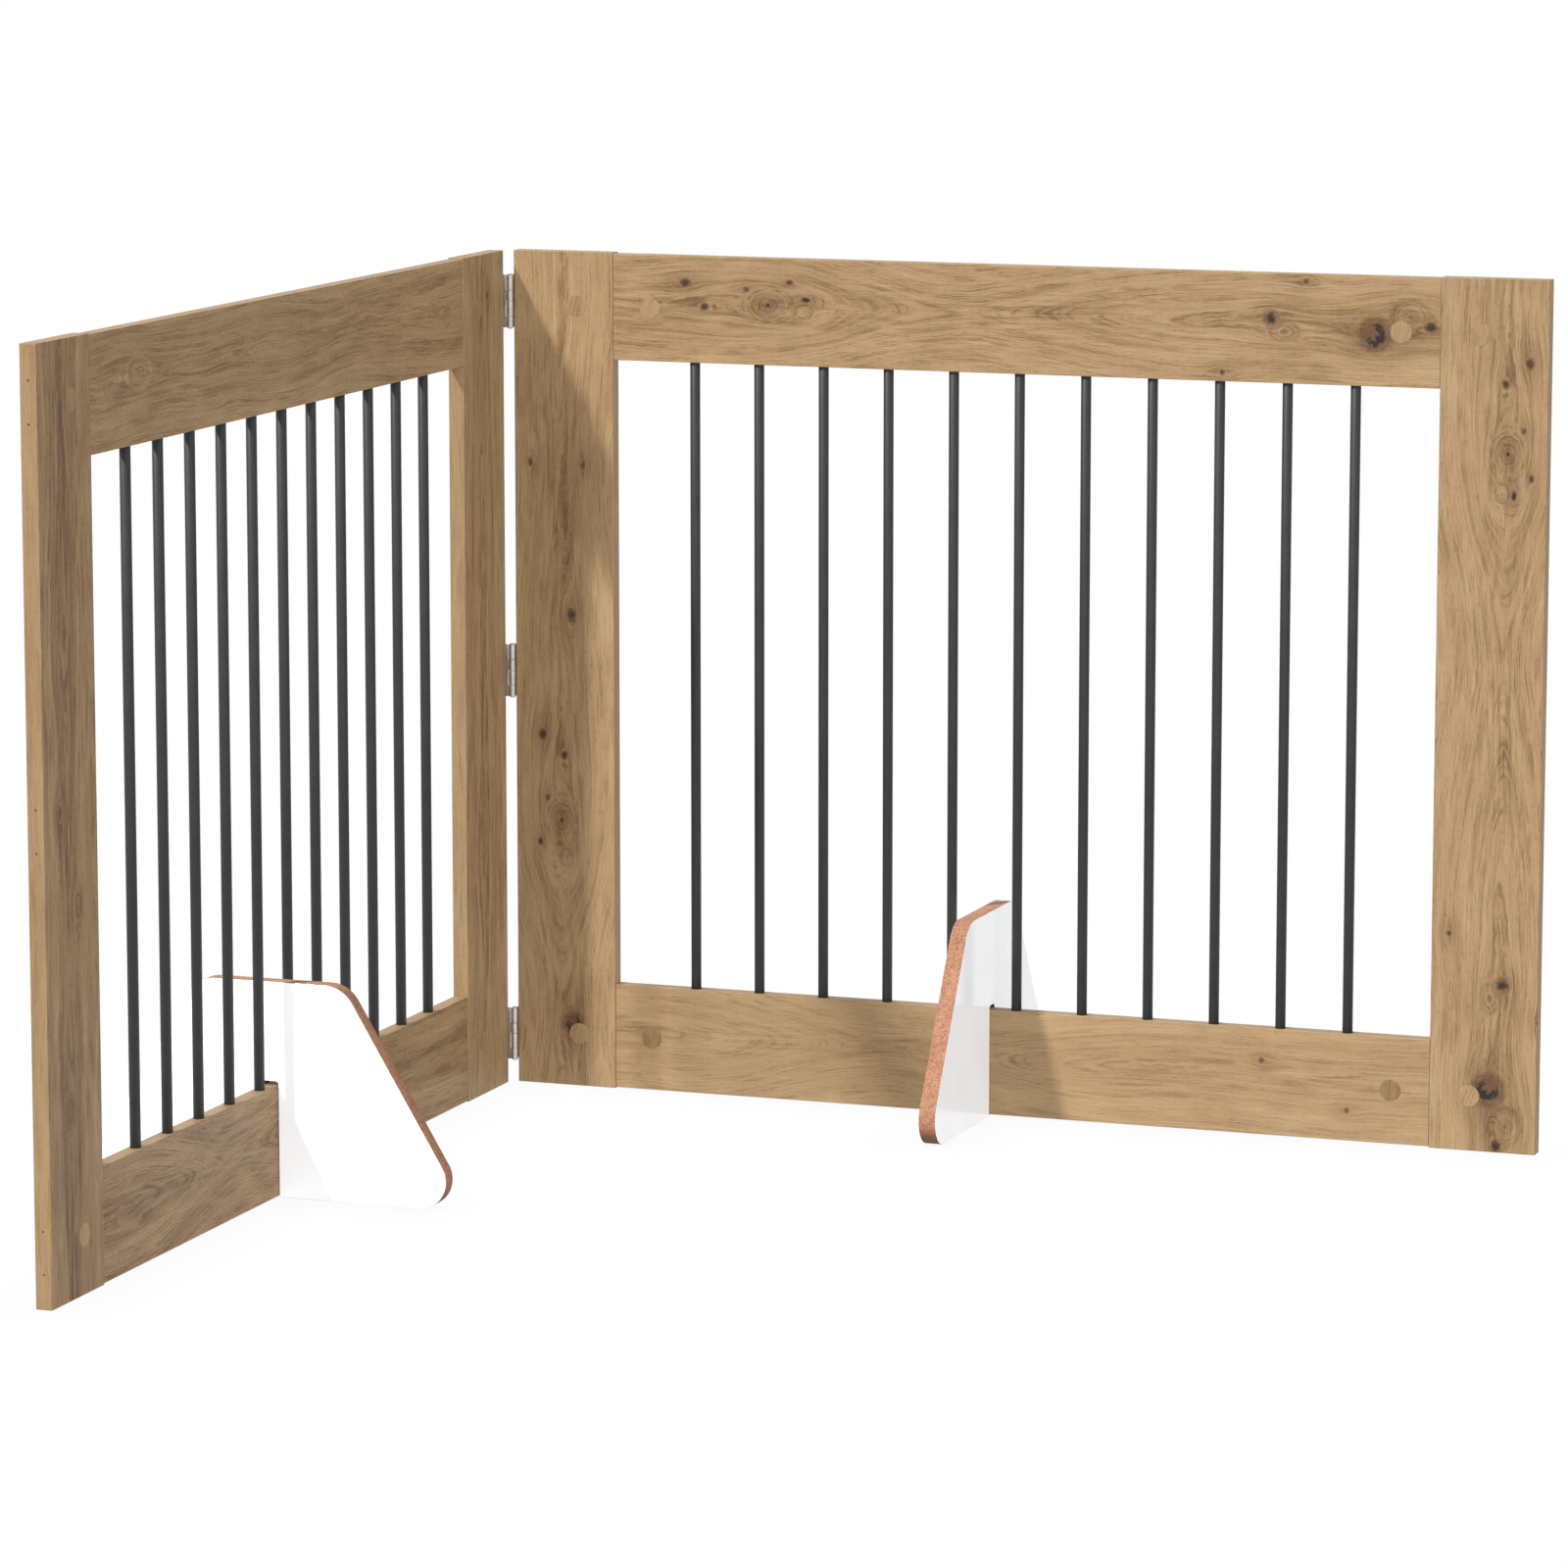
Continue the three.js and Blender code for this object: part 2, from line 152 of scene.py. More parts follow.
class Graph:
    """Short names for the nodes of one material or node group."""

    def __init__(self, tree):
        self.tree = tree

    def node(self, kind, **settings):
        made = self.tree.nodes.new(kind)
        for key, value in settings.items():
            setattr(made, key, value)
        return made

    def feed(self, socket, value):
        """Links an output to the socket, or sets the socket to a plain value."""
        if isinstance(value, bpy.types.NodeSocket):
            self.tree.links.new(value, socket)
        else:
            socket.default_value = value

    def math(self, operation, *values):
        made = self.node("ShaderNodeMath", operation=operation)
        for socket, value in zip(made.inputs, values):
            self.feed(socket, value)
        return made.outputs[0]

    def add(self, a, b):
        return self.math("ADD", a, b)

    def subtract(self, a, b):
        return self.math("SUBTRACT", a, b)

    def times(self, a, b):
        return self.math("MULTIPLY", a, b)

    def divide(self, a, b):
        return self.math("DIVIDE", a, b)

    def length(self, a, b):
        return self.math("SQRT", self.add(self.times(a, a), self.times(b, b)))

    def bell(self, distance):
        """1 at distance 0, falling smoothly to 0 beyond about 2."""
        return self.math("EXPONENT", self.times(self.times(distance, distance), -1.0))

    def dot(self, vector, direction):
        made = self.node("ShaderNodeVectorMath", operation="DOT_PRODUCT")
        self.feed(made.inputs[0], vector)
        made.inputs[1].default_value = direction
        return made.outputs["Value"]

    def vector(self, x, y=0.0, z=0.0):
        made = self.node("ShaderNodeCombineXYZ")
        for socket, value in zip(made.inputs, (x, y, z)):
            self.feed(socket, value)
        return made.outputs[0]

    def spread(self, along, across, lengths, seed):
        """A place for noise that changes over those lengths along and across the grain."""
        return self.vector(self.times(along, 1 / lengths[0]),
                           self.times(across, 1 / lengths[1]), seed)

    def noise(self, vector, detail=2.0, roughness=0.5, scale=1.0):
        """Noise from 0 to 1."""
        made = self.node("ShaderNodeTexNoise")
        self.feed(made.inputs["Vector"], vector)
        made.inputs["Scale"].default_value = scale
        made.inputs["Detail"].default_value = detail
        made.inputs["Roughness"].default_value = roughness
        return made.outputs[0]

    def centred(self, vector, size, **settings):
        """Noise from -size to size, about 0."""
        return self.times(self.subtract(self.noise(vector, **settings), 0.5), 2.0 * size)

    def fade(self, value, start, end):
        """0 at start, 1 at end, smooth between them."""
        made = self.node("ShaderNodeMapRange", interpolation_type="SMOOTHSTEP")
        self.feed(made.inputs["Value"], value)
        made.inputs["From Min"].default_value = start
        made.inputs["From Max"].default_value = end
        return made.outputs[0]

    def choose(self, factor, a, b):
        """a at factor 0, b at factor 1, for plain numbers."""
        return self.add(a, self.times(self.subtract(b, a), factor))

    def mix(self, factor, a, b, blend="MIX"):
        made = self.node("ShaderNodeMix", data_type="RGBA", blend_type=blend)
        self.feed(made.inputs[0], factor)
        self.feed(made.inputs[6], a)
        self.feed(made.inputs[7], b)
        return made.outputs[2]

    def ramp(self, value, stops, interpolation="LINEAR"):
        made = self.node("ShaderNodeValToRGB")
        made.color_ramp.interpolation = interpolation
        self.feed(made.inputs[0], value)
        elements = made.color_ramp.elements
        while len(elements) < len(stops):
            elements.new(0.5)
        for element, (position, colour) in zip(elements, stops):
            element.position = position
            element.color = colour
        return made.outputs[0]

    def bump(self, height, distance, strength):
        made = self.node("ShaderNodeBump")
        made.inputs["Strength"].default_value = strength
        made.inputs["Distance"].default_value = distance
        self.feed(made.inputs["Height"], height)
        return made.outputs[0]


def new_material(name):
    """A material with one Principled shader, as (material, graph, shader)."""
    material = bpy.data.materials.new(name)
    material.use_nodes = True
    shader = material.node_tree.nodes["Principled BSDF"]
    return material, Graph(material.node_tree), shader


def place_in_mm(graph):
    """The surface point in the object's own frame, in millimetres."""
    coordinates = graph.node("ShaderNodeTexCoord")
    scaled = graph.node("ShaderNodeVectorMath", operation="SCALE")
    graph.feed(scaled.inputs[0], coordinates.outputs["Object"])
    scaled.inputs["Scale"].default_value = 1 / MM
    return scaled.outputs[0], coordinates.outputs["Normal"]


# ---- oak decor -------------------------------------------------------------------------
# The boards carry one printed oak pattern. Its own coordinates are millimetres along the
# grain and across it. A knot is (along, across, half length, half width, brown, black).

DECOR_KNOTS = (
    (-260, 14, 3, 2, 0.6, 0.3),
    (-258, 67, 3, 2, 0.6, 0.3),
    (-205, 49, 22, 4, 0.3, 0.0),
    (-115, 55, 5, 3.4, 0.6, 0.8),
    (1, 25, 4, 3, 0.75, 0.7),
    (20, 47, 3.2, 2.6, 0.8, 0.8),
    (83, 44, 15, 11, 0.1, 0.0),
    (83, 44, 1.6, 1.3, 0.9, 1.0),
    (62, 30, 2, 1.5, 0.6, 0.4),
    (104, 22, 3, 2, 0.6, 0.7),
    (119, 49, 8, 6, 0.12, 0.0),
    (121, 38, 4, 2, 0.8, 1.0),
    (524, 92, 2.2, 2.2, 0.7, 0.6),
    (569, 41, 4, 5, 0.75, 0.9),
    (582, 53, 9, 6, 0.15, 0.0),
    (602, 7, 2, 2, 0.7, 0.5),
    (667, 54, 10, 11, 0.85, 1.0),
    (700, 36, 12, 11, 0.12, 0.0),
    (719, 45, 5, 4, 0.6, 1.0),
)
LIFT_START_MM = -420
LIFT_END_MM = 880
DECOR_LIFT = (
    (-420, 0.35), (-250, 0.62), (-150, 0.34), (40, 0.05), (120, 0.25), (200, 0.75),
    (260, 0.95), (310, 0.90), (400, 0.50), (500, 0.22), (640, 0.30), (740, 0.20),
    (880, 0.20),
)
LIFT_MM = 46

OAK_DEEP = linear(104, 75, 48)
OAK_DARK = linear(144, 111, 75)
OAK_MIDDLE = linear(185, 152, 110)
OAK_LIGHT = linear(208, 179, 136)
OAK_PALE = linear(222, 199, 160)
OAK_KNOT = linear(104, 74, 49)
OAK_CRACK = linear(40, 30, 24)
ALBEDO = 0.53
HEART_WIDTH_MM = 9
HEART_BAND_MM = 19
FACE_COSINE = 0.6
EDGE_DECOR_MM = (1500.0, 400.0)  # where in the decor the thin edges take their grain from

# the size of a variation, or its (length along the grain, width across it)
WANDER_LENGTH_MM = 170
WANDER_MM = 8.0
SWAY_SPAN_MM = (60, 18)
SWAY_MM = 1.8
JITTER_SPAN_MM = (11, 5)
JITTER_MM = 1.1
RING_MM = 2.3
WIDE_RING_MM = 11
SLOW_LENGTH_MM = 300
BREAK_SPAN_MM = (38, 9)
FIBRE_SPAN_MM = (38, 0.8)
PATCH_SPAN_MM = (90, 30)
PORE_SPAN_MM = (7, 0.5)
STREAK_SPAN_MM = (70, 4)

# how strongly each one lightens or darkens the wood
WIDE_WEIGHT = 0.5
PATCH_WEIGHT = 0.35
LINE_WEIGHT = 0.26
PORE_WEIGHT = 0.24
HALO_WEIGHT = 0.42
FACE_LEVEL = 0.56
EDGE_LEVEL = 0.41
EDGE_CONTRAST = 0.8


def knot_group():
    """One knot: it bends the grain round it and adds its own rings, brown and black."""
    tree = bpy.data.node_groups.new("Knot", "ShaderNodeTree")
    carried = ("Field", "Brown", "Black", "Halo", "Eye", "Eye radius")
    names = ("Along", "Across", "Wobble", *carried, "Centre along", "Centre across",
             "Half length", "Half width", "Knot brown", "Knot black")
    for name in names:
        tree.interface.new_socket(name, in_out="INPUT", socket_type="NodeSocketFloat")
    for name in carried:
        tree.interface.new_socket(name, in_out="OUTPUT", socket_type="NodeSocketFloat")
    g = Graph(tree)
    given = g.node("NodeGroupInput").outputs
    result = g.node("NodeGroupOutput").inputs
    along = g.subtract(given["Along"], given["Centre along"])
    across = g.subtract(given["Across"], given["Centre across"])
    # near is 1 on the knot's rim, and far is the same for the grain that it bends
    near = g.length(g.divide(along, given["Half length"]),
                    g.divide(across, given["Half width"]))
    radius = g.add(near, given["Wobble"])
    far = g.length(g.divide(along, g.add(g.times(given["Half length"], 3.2), 8.0)),
                   g.divide(across, g.add(g.times(given["Half width"], 1.5), 5.0)))
    pull = g.bell(far)
    g.feed(result["Field"], g.subtract(given["Field"], g.times(across, g.times(pull, 0.9))))
    core = g.times(g.fade(radius, 1.9, 0.5), given["Knot brown"])
    g.feed(result["Brown"], g.math("MAXIMUM", given["Brown"], core))
    # a small knot is a dark dot, and a large one keeps a lighter middle, off centre
    moved_along = g.add(along, g.times(given["Half length"], 0.45))
    moved_across = g.add(across, g.times(given["Half width"], 0.25))
    shifted = g.length(g.divide(moved_along, given["Half length"]),
                       g.divide(moved_across, given["Half width"]))
    hollow = g.fade(g.add(shifted, given["Wobble"]), 0.45, 0.8)
    large = g.fade(given["Half length"], 4.0, 8.0)
    edge = g.choose(large, g.fade(radius, 1.5, 0.4), g.fade(radius, 1.05, 0.8))
    black = g.times(g.times(edge, g.choose(large, 1.0, hollow)), given["Knot black"])
    g.feed(result["Black"], g.math("MAXIMUM", given["Black"], black))
    halo = g.times(g.bell(far), given["Knot brown"])
    g.feed(result["Halo"], g.math("MAXIMUM", given["Halo"], halo))
    eye = g.fade(near, 2.1, 1.2)
    g.feed(result["Eye"], g.math("MAXIMUM", given["Eye"], eye))
    rings = g.times(near, given["Half width"])
    g.feed(result["Eye radius"], g.choose(eye, given["Eye radius"], rings))
    return tree


KNOT = knot_group()


def add_knots(g, along, across, field, knots):
    """Chains the knots. Each value passes through them all, as the knot group names it."""
    wobble = g.centred(g.vector(along, across), 0.7, scale=0.2)
    state = {"Field": field}
    state.update({key: 0.0 for key in ("Brown", "Black", "Halo", "Eye", "Eye radius")})
    for knot in knots:
        made = g.node("ShaderNodeGroup", node_tree=KNOT)
        g.feed(made.inputs["Along"], along)
        g.feed(made.inputs["Across"], across)
        g.feed(made.inputs["Wobble"], wobble)
        for key, value in state.items():
            g.feed(made.inputs[key], value)
        for socket, value in zip(list(made.inputs)[9:], knot):
            socket.default_value = value
        state = {key: made.outputs[key] for key in state}
    return state


def heart_lift(g, along, lift, seed):
    """How far the growth rings climb, which makes arches. lift is (along, level) stops."""
    if lift is None:
        place = g.vector(g.times(along, 1 / SLOW_LENGTH_MM), seed)
        return g.centred(place, LIFT_MM * 0.5, detail=1.0)
    spread = LIFT_END_MM - LIFT_START_MM
    stops = [((at - LIFT_START_MM) / spread, (level, level, level, 1)) for at, level in lift]
    place = g.divide(g.subtract(along, LIFT_START_MM), spread)
    ramp = g.ramp(place, stops, "B_SPLINE")
    return g.times(ramp, LIFT_MM)


def oak_material(name, origin, along_axis, across_axis, depth_axis, knots=(), lift=None,
                 seed=0.0, tone=0.0, heart=44.0, twin=330.0, band=0.62, contrast=1.0):
    """Printed oak on the faces and a plain straight-grained band on the thin edges.

    origin is the decor's own origin, in millimetres. The face that looks along depth_axis
    shows the decor twin millimetres further on. heart is the row, across the grain, that
    the arches and a darker belt follow, and band is how dark that belt is. contrast scales
    the faces' grain, but not the belt or the knots."""
    material, g, shader = new_material(name)
    point, normal = place_in_mm(g)
    moved = g.node("ShaderNodeVectorMath", operation="SUBTRACT")
    g.feed(moved.inputs[0], point)
    moved.inputs[1].default_value = origin
    local = moved.outputs[0]
    along = g.dot(local, along_axis)
    across = g.dot(local, across_axis)
    depth = g.dot(local, depth_axis)
    facing = g.dot(normal, depth_axis)
    on_face = g.math("GREATER_THAN", g.math("ABSOLUTE", facing), FACE_COSINE)
    on_back = g.math("GREATER_THAN", facing, FACE_COSINE)
    face_along = g.add(along, g.times(on_back, twin))
    edge_along = g.add(g.add(along, across), EDGE_DECOR_MM[0])
    edge_across = g.add(depth, EDGE_DECOR_MM[1])
    along = g.choose(on_face, edge_along, face_along)
    across = g.choose(on_face, edge_across, across)

    wander = g.centred(g.vector(g.times(along, 1 / WANDER_LENGTH_MM), seed), WANDER_MM,
                       detail=1.0)
    sway = g.centred(g.spread(along, across, SWAY_SPAN_MM, seed), SWAY_MM)
    field = g.add(across, g.add(wander, sway))
    marks = add_knots(g, along, across, field, knots)
    field = marks["Field"]

    rings = g.length(g.subtract(field, heart), HEART_WIDTH_MM)
    rings = g.add(rings, heart_lift(g, along, lift, seed))
    jitter = g.centred(g.spread(along, across, JITTER_SPAN_MM, seed), JITTER_MM)
    rings = g.add(g.choose(marks["Eye"], rings, marks["Eye radius"]), jitter)
    slow = g.times(along, 1 / SLOW_LENGTH_MM)
    growth = g.noise(g.vector(g.times(rings, 1 / RING_MM), slow, seed), detail=1.0)
    line = g.bell(g.divide(g.subtract(growth, 0.5), 0.05))
    wide = g.noise(g.vector(g.times(rings, 1 / WIDE_RING_MM), slow, seed + 7))
    broken = g.noise(g.spread(along, across, BREAK_SPAN_MM, seed + 2))
    strength = g.math("MAXIMUM", g.fade(broken, 0.3, 0.62), marks["Eye"])
    line = g.times(line, strength)
    fibre = g.noise(g.spread(along, field, FIBRE_SPAN_MM, seed), detail=4.0, roughness=0.72)
    patch = g.noise(g.spread(along, across, PATCH_SPAN_MM, seed + 3))
    pores = g.noise(g.spread(along, field, PORE_SPAN_MM, seed + 5))
    pore = g.fade(pores, 0.54, 0.7)
    belt = g.bell(g.divide(g.subtract(field, heart), HEART_BAND_MM))
    streaks = g.noise(g.spread(along, field, STREAK_SPAN_MM, seed + 4))
    belt = g.times(g.times(belt, g.fade(patch, 0.25, 0.7)), g.fade(streaks, 0.25, 0.75))
    belt = g.times(belt, on_face)

    level = g.times(g.subtract(wide, 0.5), WIDE_WEIGHT)
    level = g.add(level, g.subtract(fibre, 0.5))
    level = g.add(level, g.times(g.subtract(patch, 0.5), PATCH_WEIGHT))
    level = g.subtract(level, g.times(line, LINE_WEIGHT))
    level = g.subtract(level, g.times(pore, PORE_WEIGHT))
    level = g.times(level, g.choose(on_face, EDGE_CONTRAST, contrast))
    level = g.add(level, g.choose(on_face, EDGE_LEVEL, FACE_LEVEL + tone))
    level = g.subtract(level, g.times(belt, band))
    level = g.subtract(level, g.times(marks["Halo"], HALO_WEIGHT))
    colour = g.ramp(g.add(g.times(level, 0.5), 0.25), (
        (0.0, OAK_DEEP), (0.25, OAK_DARK), (0.5, OAK_MIDDLE), (0.75, OAK_LIGHT),
        (1.0, OAK_PALE),
    ))
    grained = g.times(marks["Brown"], g.add(0.75, g.times(growth, 0.5)))
    colour = g.mix(grained, colour, OAK_KNOT)
    colour = g.mix(marks["Black"], colour, OAK_CRACK)
    colour = g.mix(1.0, colour, (ALBEDO, ALBEDO, ALBEDO, 1.0), blend="MULTIPLY")
    g.feed(shader.inputs["Base Color"], colour)
    rough = g.add(0.46, g.add(g.times(fibre, 0.14), g.times(pore, 0.1)))
    g.feed(shader.inputs["Roughness"], rough)
    shader.inputs["Specular IOR Level"].default_value = 0.35
    height = g.subtract(g.times(fibre, 0.4), g.add(pore, g.times(marks["Black"], 0.6)))
    g.feed(shader.inputs["Normal"], g.bump(height, 0.12 * MM, 0.35))
    return material


# ---- other materials -------------------------------------------------------------------

MELAMINE_COSINE = 0.72
SLOT_MARGIN_MM = (1.5, 2)  # beside and above a foot's slot, where the painted shade of its inside ends
LOW_SHADE_MM = (3.0, 22.0)  # painted shade: a foot's edge is darkest below the first height, plain above


def black_coat():
    """Black powder coat on the bars."""
    material, g, shader = new_material("Black powder coat")
    point, _ = place_in_mm(g)
    grains = g.noise(point, detail=1.0, scale=0.9)
    cloud = g.noise(point, detail=1.0, scale=0.03)
    shade = g.add(g.times(grains, 0.15), g.times(cloud, 0.85))
    colour = g.ramp(shade, ((0.25, linear(28, 28, 29)), (0.75, linear(36, 36, 37))))
    g.feed(shader.inputs["Base Color"], colour)
    g.feed(shader.inputs["Roughness"], g.add(0.47, g.times(grains, 0.06)))
    shader.inputs["Specular IOR Level"].default_value = 0.4
    g.feed(shader.inputs["Normal"], g.bump(grains, 0.02 * MM, 0.05))
    return material


def white_board():
    """White melamine on a foot's faces and raw chipboard on its cut edges.

    The inside of the slot is painted near-black as painted shade, and the lowest part of the
    edge is painted darker as painted shade."""
    material, g, shader = new_material("White melamine board")
    point, normal = place_in_mm(g)
    facing = g.math("ABSOLUTE", g.dot(normal, (1, 0, 0)))
    cut_edge = g.math("LESS_THAN", facing, MELAMINE_COSINE)

    chips = g.node("ShaderNodeTexVoronoi", feature="F1")
    chips.inputs["Scale"].default_value = 0.8
    warp = g.node("ShaderNodeVectorMath", operation="ADD")
    shaken = g.node("ShaderNodeTexNoise")
    shaken.inputs["Scale"].default_value = 0.7
    g.feed(shaken.inputs["Vector"], point)
    g.feed(warp.inputs[0], point)
    g.feed(warp.inputs[1], shaken.outputs["Color"])
    g.feed(chips.inputs["Vector"], warp.outputs[0])
    separate = g.node("ShaderNodeSeparateColor")
    g.feed(separate.inputs[0], chips.outputs["Color"])
    pick = separate.outputs[0]
    gap = g.fade(chips.outputs["Distance"], 0.4, 0.8)
    dust = g.noise(point, detail=3.0, scale=1.3, roughness=0.7)
    drift = g.noise(point, detail=1.0, scale=0.08)
    blend = g.add(g.times(pick, 0.36), g.add(g.times(dust, 0.42), g.times(drift, 0.22)))
    chip = g.ramp(blend, (
        (0.2, linear(88, 55, 40)), (0.36, linear(132, 91, 69)),
        (0.58, linear(155, 109, 83)), (0.8, linear(171, 130, 103)),
    ))
    chip = g.mix(g.times(gap, 0.3), chip, linear(88, 58, 44))
    from_slot = g.math("ABSOLUTE", g.dot(point, (0, 1, 0)))
    height = g.dot(point, (0, 0, 1))
    # painted shade: the inside of the slot is coloured near-black
    slot_painted_shade = g.times(
        g.math("LESS_THAN", from_slot, FOOT_HALF_SLOT_MM + SLOT_MARGIN_MM[0]),
        g.math("LESS_THAN", height, FOOT_SLOT_TOP_MM + SLOT_MARGIN_MM[1]))
    chip = g.mix(slot_painted_shade, chip, linear(42, 32, 27))
    # painted shade: the cut edge darkens towards the floor
    low_painted_shade = g.subtract(1.0, g.fade(height, *LOW_SHADE_MM))
    chip = g.mix(g.times(low_painted_shade, 0.75), chip, linear(74, 50, 40))

    cloud = g.noise(point, detail=1.0, scale=0.02)
    melamine = g.ramp(cloud, ((0.3, linear(233, 235, 237)), (0.7, linear(237, 239, 241))))
    g.feed(shader.inputs["Base Color"], g.mix(cut_edge, melamine, chip))
    smooth = g.add(0.13, g.times(cloud, 0.05))
    g.feed(shader.inputs["Roughness"], g.choose(cut_edge, smooth, 0.85))
    relief = g.times(cut_edge, g.subtract(g.times(dust, 0.6), gap))
    g.feed(shader.inputs["Normal"], g.bump(relief, 0.2 * MM, 0.5))
    return material


def zinc(name, grain_axis, rough):
    """Bright zinc plating, faintly brushed along one axis."""
    material, g, shader = new_material(name)
    point, _ = place_in_mm(g)
    stretch = g.node("ShaderNodeVectorMath", operation="MULTIPLY")
    g.feed(stretch.inputs[0], point)
    stretch.inputs[1].default_value = grain_axis
    brushed = g.noise(stretch.outputs[0], detail=3.0, scale=3.0)
    cloud = g.noise(point, detail=2.0, scale=0.12)
    colour = g.ramp(cloud, ((0.3, linear(196, 198, 201)), (0.7, linear(226, 227, 229))))
    g.feed(shader.inputs["Base Color"], colour)
    shader.inputs["Metallic"].default_value = 1.0
    g.feed(shader.inputs["Roughness"], g.add(rough, g.times(brushed, 0.16)))
    g.feed(shader.inputs["Normal"], g.bump(brushed, 0.03 * MM, 0.3))
    return material


def glowing_white(name):
    """The studio's white, with a painted contact shadow: a little darker close to whatever
    stands on it.
    """
    material = bpy.data.materials.new(name)
    material.use_nodes = True
    g = Graph(material.node_tree)
    g.tree.nodes.clear()
    closeness = g.node("ShaderNodeAmbientOcclusion", samples=4)
    closeness.inputs["Distance"].default_value = CONTACT_REACH
    glow = g.node("ShaderNodeEmission")
    level = g.choose(closeness.outputs["AO"], STUDIO_WHITE * CONTACT_SHADE, STUDIO_WHITE)
    g.feed(glow.inputs["Strength"], level)
    output = g.node("ShaderNodeOutputMaterial")
    g.feed(output.inputs["Surface"], glow.outputs[0])
    return material


# ---- mesh helpers ----------------------------------------------------------------------


def rounded_outline(corners, steps):
    """Points round a closed outline of (x, y, radius) corners."""
    points = []
    for i, (x, y, radius) in enumerate(corners):
        corner = Vector((x, y))
        before = (Vector(corners[i - 1][:2]) - corner).normalized()
        after = (Vector(corners[(i + 1) % len(corners)][:2]) - corner).normalized()
        if radius == 0:
            points.append(corner)
            continue
        half = math.acos(before.dot(after)) / 2
        inward = (before + after).normalized()
        centre = corner + inward * (radius / math.sin(half))
        start = corner + before * (radius / math.tan(half)) - centre
        end = corner + after * (radius / math.tan(half)) - centre
        turn = start.angle_signed(end)
        for step in range(steps + 1):
            arm = Matrix.Rotation(-turn * step / steps, 2) @ start
            points.append(centre + arm)
    return points


def prism(name, outline, low, high, edge):
    """A plate with that outline in x and y, from z = low to z = high, in millimetres."""
    bm = bmesh.new()
    bottom = [bm.verts.new((x * MM, y * MM, low * MM)) for x, y in outline]
    face = bm.faces.new(bottom)
    grown = bmesh.ops.extrude_face_region(bm, geom=[face])["geom"]
    top = [item for item in grown if isinstance(item, bmesh.types.BMVert)]
    bmesh.ops.translate(bm, verts=top, vec=(0, 0, (high - low) * MM))
    bmesh.ops.recalc_face_normals(bm, faces=bm.faces)
    rims = [e for e in bm.edges if abs(e.verts[0].co.z - e.verts[1].co.z) < 0.01 * MM]
    bmesh.ops.bevel(bm, geom=rims, offset=edge * MM, segments=2, profile=0.5,
                    affect="EDGES")
    return to_mesh(name, bm)


def shade(mesh, sharp_degrees, flat_axis=None):
    """Smooth shading but for edges sharper than that, and flat faces along flat_axis."""
    mesh.shade_smooth()
    mesh.set_sharp_from_angle(angle=math.radians(sharp_degrees))
    for polygon in mesh.polygons:
        if flat_axis is not None and abs(polygon.normal[flat_axis]) > FLAT_COSINE:
            polygon.use_smooth = False


def turned(name, profile, sides):
    """A closed solid turned about Z from (radius, height) points, in millimetres."""
    bm = bmesh.new()
    rings = []
    for radius, height in profile:
        if radius == 0:
            rings.append([bm.verts.new((0, 0, height * MM))])
            continue
        rings.append([
            bm.verts.new((radius * MM * math.cos(a), radius * MM * math.sin(a), height * MM))
            for a in (2 * math.pi * k / sides for k in range(sides))
        ])
    for first, second in zip(rings, rings[1:]):
        for k in range(sides):
            corners = []
            for ring, index in ((first, k), (first, k + 1), (second, k + 1), (second, k)):
                vert = ring[index % len(ring)]
                if vert not in corners:
                    corners.append(vert)
            if len(corners) > 2:
                bm.faces.new(corners)
    bmesh.ops.recalc_face_normals(bm, faces=bm.faces)
    return to_mesh(name, bm)


def to_mesh(name, bm):
    """A new mesh from bm, which is freed."""
    mesh = bpy.data.meshes.new(name)
    bm.to_mesh(mesh)
    bm.free()
    return mesh


def join_solids(name, base, tools, operation):
    """base with each tool mesh added to it or cut from it."""
    collection = bpy.context.scene.collection
    work = bpy.data.objects.new("work", base)
    collection.objects.link(work)
    helpers = []
    for tool in tools:
        helper = bpy.data.objects.new("helper", tool)
        collection.objects.link(helper)
        helpers.append(helper)
        modifier = work.modifiers.new("boolean", "BOOLEAN")
        modifier.operation = operation
        modifier.solver = "EXACT"
        modifier.object = helper
    bpy.context.view_layer.update()
    graph = bpy.context.evaluated_depsgraph_get()
    result = bpy.data.meshes.new_from_object(work.evaluated_get(graph))
    result.name = name
    for thing in [work, *helpers]:
        bpy.data.objects.remove(thing)
    return result


def make_piece(name, mesh, matrix, material, body, replaced=()):
    """A piece at matrix that rides on body and stands for the replaced CAD nodes.

    Pieces may share a mesh: each has its material on its own object."""
    piece = bpy.data.objects.new(name, mesh)
    bpy.context.scene.collection.objects.link(piece)
    piece.matrix_world = matrix
    if not mesh.materials:
        mesh.materials.append(material)
    piece.material_slots[0].link = "OBJECT"
    piece.material_slots[0].material = material
    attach(piece, body)
    if replaced:
        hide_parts(*replaced)
    return piece


# ---- the panels' frames ----------------------------------------------------------------
# In a panel's own frame x runs along it, z is up and its inside face is at y = 0.


def panel_frame(side):
    """The matrix from a panel's own frame to the row's, from the CAD's boxes."""
    if side == "right":
        low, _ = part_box("right_hinge_stile")
        return Matrix.Translation(low)
    low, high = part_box("left_outer_stile")
    return Matrix.Translation((high.x, low.y, low.z)) @ Matrix.Rotation(math.pi / 2, 4, "Z")


PANEL_FRAMES = {side: panel_frame(side) for side in SIDES}


def board_axes(side, origin, along, across):
    """A board's decor frame, from its panel's (x, z) millimetres to the row frame's."""
    panel = PANEL_FRAMES[side]
    turn = panel.to_3x3()
    place = panel @ Vector((origin[0] * MM, 0, origin[1] * MM)) / MM
    return {
        "origin": place,
        "along_axis": turn @ Vector((along[0], 0, along[1])),
        "across_axis": turn @ Vector((across[0], 0, across[1])),
        "depth_axis": turn @ Vector((0, 1, 0)),
    }


RIGHT = (1, 0)
LEFT = (-1, 0)
DOWN = (0, -1)

